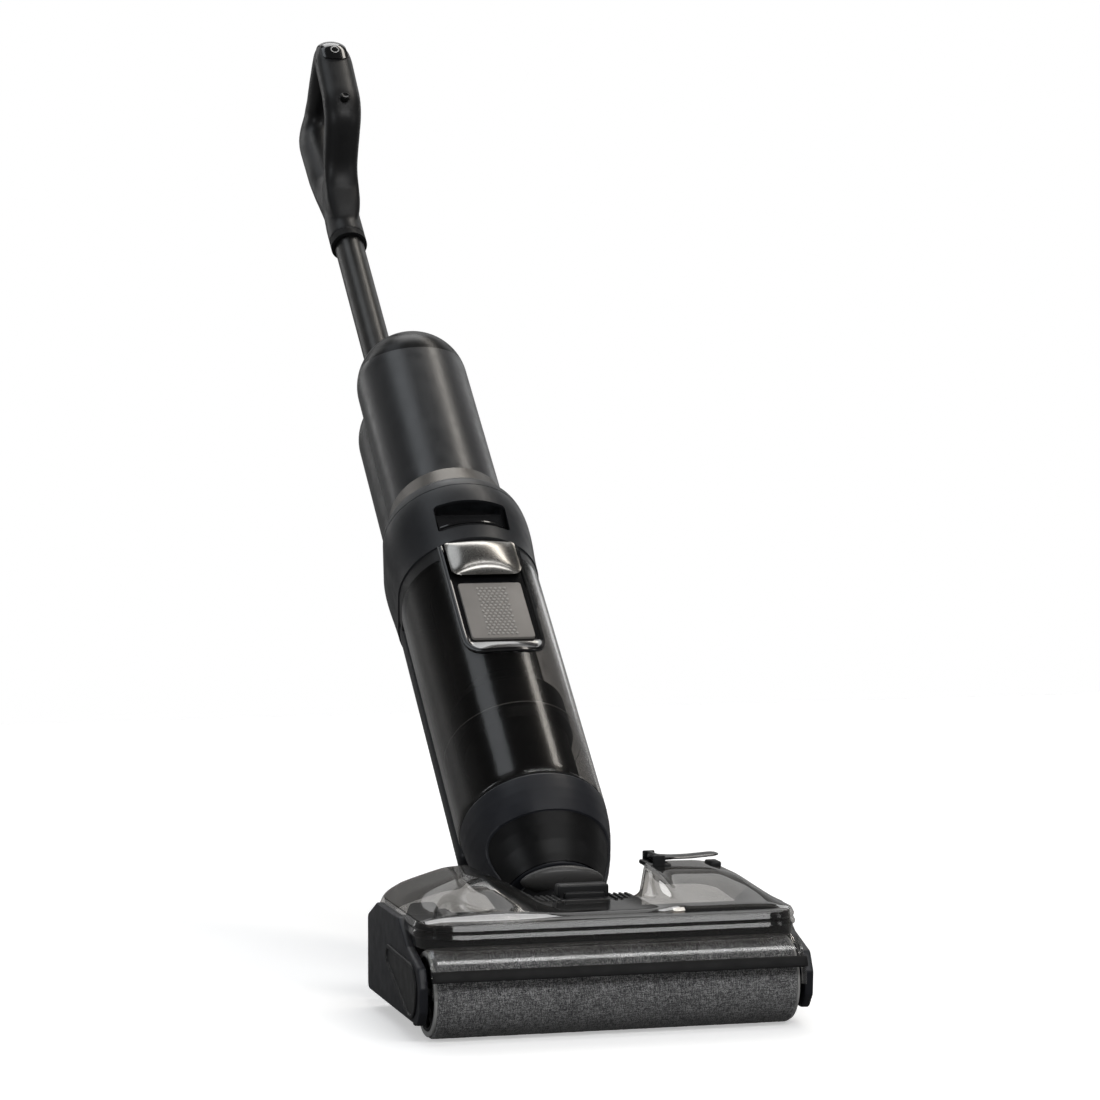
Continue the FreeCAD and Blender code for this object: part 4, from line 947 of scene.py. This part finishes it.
def make_window():
    """The gloss bezel, the tray behind it and the dotted grip plate."""
    top = local_box("window_bezel", UPRIGHT)[1].z
    low, high = local_box("grip_plate", UPRIGHT)
    path = list(reversed(window_edge(top)))
    profile = [(-2, -0.4), (-2, 0.7), (-1.5, 1.2), (-0.7, 1.2), (-0.4, 0.8), (0, 0.8), (0.3, 1.7), (1.2, 1.7),
               (1.8, 1.2), (2.1, 0.4), (2.1, 0.1)]
    bezel = Surface().swept(path, profile, on_tank)
    tray = window_edge(top, 1.6)
    shelf = low.z + PLATE_RISE
    outer_row = [on_tank(point.x, point.y, 0.5) for point in tray]
    inner_row = [Vector((point.x * 0.93, high.y, max(point.y, shelf - 1))) for point in tray]
    bezel.grid([outer_row, inner_row], across_closed=True, cap_end=True)
    finish_piece(bezel.build("window_frame", UPRIGHT), gloss_black, "dirty_tank",
                 ["window_bezel"], angle=30)
    low.z = shelf
    plate = Surface()
    outline = rounded_outline([(low.x, low.z, 2.5), (high.x, low.z, 2.5), (high.x, high.z, 2),
                               (low.x, high.z, 2)])
    rows = []
    middle = Vector(((low.x + high.x) / 2, (low.z + high.z) / 2))
    for inward, depth in ((0, high.y), (0, low.y + 0.6), (0.25, low.y + 0.2), (0.8, low.y)):
        rows.append([Vector((point.x, depth, point.y)) for point in drawn_in(outline, middle, inward)])
    plate.tube(rows)
    finish_piece(plate.build("grip_face", UPRIGHT), plate_grey, "dirty_tank", ["grip_plate"])
    make_grip_dots(low, high)


def make_grip_dots(low, high):
    """Rows of raised dots, every second row shifted by half a pitch, in a lighter grey than the plate: a
    painted highlight for the light they catch.
    """
    pitch, dot, margin, field_half = 3.5, 1.25, 4, 10.5
    row_pitch = pitch * math.sqrt(3) / 2
    row_count = int((high.z - low.z - 2 * margin) / row_pitch)
    dome = [(dot, 0.1), (dot * 0.9, -0.55), (dot * 0.55, -0.9), (0.02, -1)]
    dots = Surface()
    for row_index in range(row_count + 1):
        up = low.z + margin + row_index * row_pitch
        shift = pitch / 2 if row_index % 2 else 0
        for column in range(-4, 5):
            across = column * pitch + shift
            if abs(across) <= field_half:
                centre = Vector((across, low.y, up))
                dots.tube([[centre + Vector((size * math.cos(angle), proud, size * math.sin(angle)))
                            for angle in turns(10)] for size, proud in dome])
    # The dots' lighter grey is a painted highlight, not a colour of their own.
    finish_piece(dots.build("grip_dots", UPRIGHT), dot_painted_highlight, "dirty_tank")


def corner_inset(radius, from_end):
    """How far a rounded corner has come in at that distance from the end."""
    within = max(radius - from_end, 0)
    return radius - math.sqrt(max(radius ** 2 - within ** 2, 0))


def make_release_button():
    """A bulged, mirror-bright button with rounded lower corners."""
    low, high = local_box("release_button", UPRIGHT)
    half = high.x
    radius = -low.y
    rows = []
    for share in steps(-1, 1, 40):
        up = low.z + (high.z - low.z) * (share + 1) / 2
        width = half - corner_inset(7, up - low.z) - corner_inset(3, high.z - up)
        lift = (1 - abs(share) ** 5) ** 0.6 if abs(share) < 1 else 0
        bulge = 0.6 + 0.4 * math.cos(share * 1.2)
        row = []
        for across in steps(-1, 1, 48):
            x = width * across
            side = (1 - abs(across) ** 9)
            crown = (math.sqrt(radius ** 2 - x ** 2) + high.y) * lift * bulge * side
            row.append(Vector((x, high.y - max(crown, 0), up)))
        rows.append(row)
    button = Surface().grid(rows)
    made = button.build("release_key", UPRIGHT)
    face_towards(made, FORWARD)
    thicken(made, 0.9)
    finish_piece(made, dark_chrome, "release_button", ["release_button"], angle=60)


# ---------------------------------------------------------------- spine, collar

def make_spine():
    """The body behind the tank, rounded at its foot, with a long groove down each side."""
    low, high = local_box("spine", UPRIGHT)
    seam = low.y
    ring = half_section(False, seam)
    middle = Vector((0, 55))
    groove_angle, groove_depth = 0.55, 0.7
    rows = []
    for inset, up in ((9, low.z), (4, low.z + 0.4), (1.4, low.z + 2), (0.3, low.z + 5), (0, low.z + 9)):
        rows.append([Vector((*point, up)) for point in drawn_in(ring, middle, inset)])
    for up in steps(low.z + 9, high.z, 50)[1:]:
        row = []
        for point in ring:
            angle = math.atan2(point.x, point.y - BODY_DEPTH)
            across_groove = 1 - ease(abs(abs(angle) - groove_angle), 0.012, 0.03)
            groove = groove_depth * across_groove * ease(up, 96, 100) * (1 - ease(up, 306, 310))
            row.append(Vector((*(point - (point - middle).normalized() * groove), up)))
        rows.append(row)
    made = Surface().tube(rows).build("spine_shell", UPRIGHT)
    finish_piece(made, slate_satin, "upright", ["spine"], angle=40)


def collar_sizes(up, low, high):
    """The collar's front and rear radii at a height: a slow swell and a rounded shoulder."""
    crest = 374
    below = ease(up, low, crest)
    front = 54.5 + 2.5 * below
    rear = 49.5 + 2 * below
    shoulder = max(up - crest, 0) / (high - crest)
    drop = 7.4 * (1 - math.sqrt(1 - min(shoulder, 0.995) ** 2.2))
    return front - drop, rear - drop


def make_collar():
    """The collar over both tanks, with a finger slot at the front, its pocket and a bead across it."""
    low, high = local_box("tank_collar", UPRIGHT)
    seam_at = 389
    heights = [low.z, low.z + 0.4, low.z + 1, *steps(low.z + 3, seam_at - 1, 24), seam_at - 0.5, seam_at,
               seam_at + 0.5, *steps(seam_at + 1, high.z, 12)]
    rows = []
    for up in heights:
        front, rear = collar_sizes(up, low.z, high.z)
        inset = 0.5 if up == seam_at else 0
        inset += 0.5 if up == low.z else 0
        rows.append([Vector((*point, up)) for point in egg_ring(front, rear, BODY_DEPTH, 224, inset)])
    inner = [Vector((*point, high.z)) for point in egg_ring(46, 42, BODY_DEPTH, 224)]
    deep = [Vector((point.x, point.y, low.z + 4)) for point in inner]
    under = [Vector((point.x, point.y, low.z)) for point in inner]
    rows.extend([inner, deep])
    whole = Surface().grid([under, *rows], across_closed=True, along_closed=True)
    shell = whole.build("collar_shell", UPRIGHT)
    slot_half, slot_low, slot_top = 28, 343.5, 369.5
    outline = rectangle((-slot_half, slot_half), (slot_low, slot_top), 3)
    tool = Surface().plate(outline, (-90, -38), upright_plane)
    carve(shell, tool.build("slot_tool", UPRIGHT))
    finish_piece(shell, slate_satin, "upright", ["tank_collar"], angle=40)
    pocket = Surface()
    lip = 352
    outline = resampled(outline, 6)
    outer = []
    for point in outline:
        outer.append(on_tank(point.x * 0.995, point.y, -1.4 + 2.4 * ease(point.y, slot_low, slot_top)))
    inner = [Vector((point.x * 0.97, -41, max(point.y, lip))) for point in outline]
    pocket.grid([outer, inner], across_closed=True, cap_end=True)
    made = pocket.build("slot_pocket", UPRIGHT)
    finish_piece(made, black_satin, "upright", angle=30)
    path = [Vector((across, slot_low + 7.5)) for across in steps(-slot_half + 1, slot_half - 1, 24)]
    bead = [(-1.1, -2.2), (-0.6, -1.5), (0.5, -1.5), (1, -2.2), (0.6, -3.2), (-0.6, -3.2)]
    made = Surface().swept(path, bead, on_tank).build("slot_bead", UPRIGHT)
    finish_piece(made, gloss_black, "upright")


# ---------------------------------------------------------------- handle

def ray_reach(outline, centre, direction):
    """How far the outline lies from centre in that direction."""
    best = 0
    count = len(outline)
    for index, start in enumerate(outline):
        edge = outline[(index + 1) % count] - start
        across = direction.x * edge.y - direction.y * edge.x
        if abs(across) < 1e-9:
            continue
        offset = start - centre
        distance = (offset.x * edge.y - offset.y * edge.x) / across
        share = (offset.x * direction.y - offset.y * direction.x) / across
        if distance > 0 and 0 <= share <= 1:
            best = max(best, distance)
    return best


HANDLE_HALF, HANDLE_SQUARE = 16.5, 0.92
HANDLE_CENTRE = Vector((22, 955))


def handle_outline():
    """The loop's outer edge seen from the side, as (rear, up)."""
    return rounded_outline([(75, 845, 6), (76, 900, 20), (80, 1012, 12), (69, 1028, 9), (-28, 1005, 24),
                            (-38, 990, 24), (-30.5, 925, 40), (-20, 906, 24), (30, 888, 34), (47, 845, 6)])


def handle_crown(up):
    """How much of its full width the loop keeps at a height."""
    return math.sqrt(1 - 0.62 * min(max(up - 972, 0) / 50, 1.1) ** 2)


def make_handle():
    """A soft loop with rounded sections that runs down into the tube's socket."""
    low = local_box("handle_shell", UPRIGHT)[0]
    outer = handle_outline()
    opening = rounded_outline([(49, 908, 12), (56, 1001, 10), (-13, 985, 11), (-9, 932, 18)])
    centre = HANDLE_CENTRE
    half = HANDLE_HALF
    rows = []
    for angle in turns(160):
        direction = Vector((math.cos(angle), math.sin(angle)))
        outside = ray_reach(outer, centre, direction) - 0.3
        inside = ray_reach(opening, centre, direction)
        point = centre + direction * outside
        width = half * (1 - 0.1 * (1 - ease(point.y, 880, 925))) * handle_crown(point.y)
        width *= 1 + 0.16 * ease(point.x, 40, 72) * ease(point.y, 850, 900)
        row = []
        for turn in turns(36):
            out = signed_power(math.cos(turn), HANDLE_SQUARE)
            side = signed_power(math.sin(turn), HANDLE_SQUARE)
            place = centre + direction * ((outside + inside) / 2 + (outside - inside) / 2 * out)
            row.append(Vector((width * side, place.x, place.y)))
        rows.append(row)
    loop = Surface().grid(rows, across_closed=True, along_closed=True)
    ring_low, ring_high = local_box("socket_ring", UPRIGHT)
    tube_y = (ring_low.y + ring_high.y) / 2
    stations = ((low.z, 0, 15.2, 15.4), (low.z + 1, 0, 15.5, 15.7), (856, 0, 15.6, 15.6), (872, -1, 16, 15),
                (886, -6, 18, 14.4), (898, -12, 19, 13.8))
    sections = []
    for up, shift, deep, wide in stations:
        sections.append([Vector((wide * math.cos(turn), tube_y + shift + deep * math.sin(turn), up))
                         for turn in turns(48)])
    loop.tube(sections)
    made = loop.build("handle_loop", UPRIGHT)
    blend = made.modifiers.new("one_skin", "REMESH")
    blend.mode = "VOXEL"
    blend.voxel_size = 1.3 * MM
    relax = made.modifiers.new("relax", "SMOOTH")
    relax.factor = 0.6
    relax.iterations = 9
    apply(made)
    finish_piece(made, black_handle, "upright", ["handle_shell"], angle=75)


def on_handle(point, across, lift):
    """The loop's skin across from a point of its side outline, lifted off it."""
    wide = HANDLE_HALF * handle_crown(point.y)
    power = 2 / HANDLE_SQUARE
    fall = 12 * (1 - (1 - min(abs(across) / wide, 0.97) ** power) ** (1 / power))
    out = (point - HANDLE_CENTRE).normalized()
    place = point + out * (lift - fall)
    return Vector((across, place.x, place.y))


def make_touch_panel():
    """The display's glass over the loop's top front corner, with a plain ring icon and a power key."""
    panel_tilt = math.radians(13.2)
    space = UPRIGHT @ Matrix.Translation(Vector((0, -27, 1005.6)) * MM) @ Matrix.Rotation(panel_tilt, 4, "X")
    button_low, button_high = local_box("power_button", space)
    centre = (0, (button_low.y + button_high.y) / 2, 0)
    top = button_high.z
    size = button_high.x
    outer = resampled(handle_outline(), 1)
    strip = [point for point in outer if point.x < 12 and point.y > 969]
    strip.sort(key=lambda point: math.atan2(point.y - HANDLE_CENTRE.y, point.x - HANDLE_CENTRE.x))
    half = 11
    count = len(strip)
    rows = []
    for index, point in enumerate(strip):
        end = min(min(index, count - 1 - index) / 7, 1)
        narrow = half * math.sqrt(max(1 - (1 - end) ** 2, 0.15))
        rows.append([on_handle(point, narrow * across, 0.8) for across in steps(-1, 1, 24)])
    glass = Surface().grid(rows).build("display_glass", UPRIGHT)
    face_towards(glass, swivel_axis)
    thicken(glass, 1.3)
    hole = [(size + 0.6, top - 9), (size + 0.6, top + 5), (0, top + 5), (0, top - 9)]
    tool = Surface().turned(hole, axis="z", centre=centre)
    carve(glass, tool.build("key_tool", space))
    finish_piece(glass, gloss_black, "upright", ["touch_panel"], angle=40)
    profile = [(0, top - 0.35), (4.2, top - 0.3), (size - 0.9, top), (size - 0.2, top - 0.2),
               (size, top - 0.7), (size, button_low.z), (0, button_low.z)]
    cap = Surface().turned(profile, axis="z", centre=centre, count=48).build("power_key", space)
    finish_piece(cap, gloss_black, "power_button", ["power_button"])
    ring = [(3.3, top - 0.32), (3.3, top - 0.12), (4.1, top - 0.12), (4.1, top - 0.32)]
    mark = Surface().turned(ring, axis="z", centre=centre, count=48).build("power_ring", space)
    finish_piece(mark, pale_plastic, "power_button")
    corner = min(range(count), key=lambda index: abs(strip[index].y - 980) + max(strip[index].x + 20, 0))
    icon = Surface()
    for inner, outside, start, stop in ((3, 3.7, 0, TURN), (5.2, 5.8, 3.9, 5.5)):
        band = []
        for angle in steps(start, stop, 40):
            row = []
            for reach in (inner, outside):
                along = corner + round(reach * math.sin(angle))
                point = strip[min(max(along, 0), count - 1)]
                row.append(on_handle(point, reach * math.cos(angle), 0.95))
            band.append(row)
        icon.grid(band)
    made = icon.build("ring_icon", UPRIGHT)
    finish_piece(made, pale_plastic, "upright", angle=80)


def make_small_controls():
    """The round mode key on the loop's front bar and the dished trigger inside the loop."""
    low, high = local_box("mode_button", UPRIGHT)
    radius = high.x
    centre = (0, 0, (low.z + high.z) / 2)
    profile = [(0, low.y + 0.7), (radius * 0.5, low.y + 0.55), (radius * 0.8, low.y), (radius, low.y + 0.4),
               (radius, high.y), (0, high.y)]
    made = Surface().turned(profile, axis="y", centre=centre, count=40).build("round_key", UPRIGHT)
    finish_piece(made, cap_finish, "mode_button", ["mode_button"])
    low, high = local_box("trigger", UPRIGHT)
    rows = []
    for share in steps(0, 1, 20):
        up = low.z + (high.z - low.z) * share
        end = (1 - abs(2 * share - 1) ** 6) ** 0.5 if 0 < share < 1 else 0.05
        row = []
        for angle in turns(24):
            out, side = math.cos(angle), math.sin(angle)
            dish = 1.1 * math.sin(math.pi * share) if out > 0 else 0
            reach = (high.y - low.y) / 2 * signed_power(out, 0.5) * (0.4 + 0.6 * end)
            row.append(Vector((high.x * 0.98 * end * signed_power(side, 0.5),
                               (low.y + high.y) / 2 + reach - dish, up)))
        rows.append(row)
    made = Surface().tube(rows).build("trigger_key", UPRIGHT)
    finish_piece(made, gloss_black, "trigger", ["trigger"])


# ---------------------------------------------------------------- CAD nodes that stay

KEPT = {
    "head_chassis": black_satin, "ballast_plates": dark_steel, "floor_scraper": rubber_black,
    "chassis_screws": steel, "wiper_bar": rubber_black, "spray_bar": black_satin, "suction_duct": black_satin,
    "pivot_pins": steel, "roller_bearings": steel, "brush_motor": dark_steel, "drive_belt": rubber_black,
    "wheel_axles": steel, "roller_core": pale_plastic, "roller_pulley": black_satin, "motor_pulley": steel,
    "neck_yoke": black_satin, "swivel_ring": steel, "battery_cells": cell_metal, "water_pump": black_satin,
    "barrel_shell": barrel_finish, "barrel_cap": cap_finish, "barrel_band": band_metal,
    "suction_motor": cell_metal, "circuit_board": board_green, "tube_mount": black_satin,
    "handle_tube": tube_metal, "socket_ring": rubber_black, "fan": pale_plastic, "tank_lid": black_satin,
    "separator": scoop_black, "float": pale_plastic, "clean_tank": tank_grey, "clean_tank_cap": rubber_black,
}


def dress_kept_nodes():
    """Give each CAD node that stays its material."""
    for node, material in KEPT.items():
        slots = frame["nodes"][node].material_slots
        for slot in slots:
            slot.material = material
        if not slots:
            frame["nodes"][node].data.materials.append(material)


# ---------------------------------------------------------------- studio

def make_light(name, place, aim, size, power, colour=(1, 1, 1), along=(0, 0, 1)):
    """An area light; along is the direction of its longer side."""
    lamp = bpy.data.lights.new(name, "AREA")
    lamp.shape = "RECTANGLE"
    lamp.size, lamp.size_y = size
    lamp.energy = power
    lamp.color = colour
    made = bpy.data.objects.new(name, lamp)
    back = (Vector(place) - Vector(aim)).normalized()
    side = Vector(along).cross(back).normalized()
    turned = Matrix((side, back.cross(side), back)).transposed().to_4x4()
    made.matrix_world = Matrix.Translation(place) @ turned
    bpy.context.scene.collection.objects.link(made)


def for_camera(tree, others, camera):
    """One shader as the camera sees it, another for all other rays."""
    which = add_node(tree, "ShaderNodeLightPath")
    mix = add_node(tree, "ShaderNodeMixShader", (), {
        "Fac": which.outputs["Is Camera Ray"], 1: others.outputs[0], 2: camera.outputs[0]})
    return mix.outputs[0]


def pale_floor():
    """A floor that looks pale to the camera but throws little light back on to the object."""
    made, tree, shader = new_material("pale_floor")
    fill_sockets(tree, shader, {
        "Base Color": (0.85, 0.85, 0.85, 1), "Roughness": 0.8, "Specular IOR Level": 0,
        "Emission Color": (1, 1, 1, 1), "Emission Strength": 0.42})
    dim = add_node(tree, "ShaderNodeBsdfDiffuse", {"Color": (0.2, 0.2, 0.2, 1)})
    tree.links.new(for_camera(tree, dim, shader), tree.nodes["Material Output"].inputs["Surface"])
    return made


def make_world():
    """White to the camera; for other rays a grey sky, brightest just above the horizon."""
    world = bpy.data.worlds.new("studio")
    bpy.context.scene.world = world
    world.use_nodes = True
    tree = world.node_tree
    tree.nodes.clear()
    place = add_node(tree, "ShaderNodeTexCoord")
    parts = add_node(tree, "ShaderNodeSeparateXYZ", (), {0: place.outputs["Generated"]})
    sky = [(0, (0.2,) * 3), (0.08, (0.34,) * 3), (0.3, (0.14,) * 3), (0.6, (0.06,) * 3)]
    lit = add_node(tree, "ShaderNodeBackground", (), {"Color": ramp(tree, parts.outputs["Z"], sky)})
    seen = add_node(tree, "ShaderNodeBackground", {"Color": (1, 1, 1, 1)})
    add_node(tree, "ShaderNodeOutputWorld", (), {"Surface": for_camera(tree, lit, seen)})


def make_studio():
    """The floor, the lights and the world; the strips run along the leaning body to make its highlights."""
    half, front, back, level = 3000, -3000, 1900, -0.3
    rows = [[(side, rear, level) for rear in steps(front, back, 12)] for side in (-half, half)]
    floor = Surface().grid(rows).build("floor")
    floor.data.materials.append(pale_floor())
    body, head = (0, 0.3, 0.3), (0, 0, 0.06)
    up_body = tuple(swivel_axis)
    make_light("right_strip", (1.15, 1.0, 2.4), body, (0.3, 1.8), 13, (1, 0.95, 0.88), up_body)
    make_light("left_strip", (-1.05, 1.0, 2.5), body, (0.9, 1.8), 8, (0.9, 0.95, 1), up_body)
    make_light("front", (0.5, -2.4, 2.2), head, (0.9, 2.6), 44, (1, 1, 1), (1, 0, 0))
    make_light("over_roller", (0.5, -0.7, 2.5), head, (0.22, 2.2), 9, (1, 1, 1), (1, 0, 0))
    make_light("low_left", (-2.4, -0.8, 0.9), body, (0.6, 1.4), 10, (0.93, 0.96, 1))
    make_light("low_right", (2.3, -0.9, 0.8), body, (0.4, 1.4), 4)
    make_light("behind_left", (-1.1, 2.5, 1.3), head, (0.25, 1.8), 4)
    make_light("behind_right", (1.6, 2.3, 1.2), head, (0.22, 1.6), 2.5)
    make_light("rear_high", (0.3, 2.5, 3.2), body, (1.5, 1.5), 26)
    make_light("behind", (0.2, 2.7, 1.7), head, (1.0, 2.6), 5, (1, 1, 1), (1, 0, 0))
    make_world()
    bpy.context.scene.view_settings.view_transform = "Standard"


def make_camera():
    """The camera at the place, heading and dip that the view was solved for."""
    lens = bpy.data.cameras.new("camera")
    lens.lens = 129.8
    lens.sensor_width = 36
    made = bpy.data.objects.new("camera", lens)
    place = Vector((-0.7199, -2.5820, 0.4996))
    heading, dip = math.radians(15.02), math.radians(3.85)
    ahead = Vector((math.sin(heading) * math.cos(dip), math.cos(heading) * math.cos(dip), -math.sin(dip)))
    made.location = place
    made.rotation_euler = ahead.to_track_quat("-Z", "Y").to_euler()
    bpy.context.scene.collection.objects.link(made)
    bpy.context.scene.camera = made


make_camera()
make_studio()
dress_kept_nodes()
make_plush_sleeve()
make_roller_ends()
make_side_walls()
make_end_caps()
make_wheels()
make_neck_trim()
make_cover()
make_wrap()
make_latch()
make_neck_cap()
make_lower_housing()
make_tank()
make_window()
make_release_button()
make_spine()
make_collar()
make_handle()
make_touch_panel()
make_small_controls()
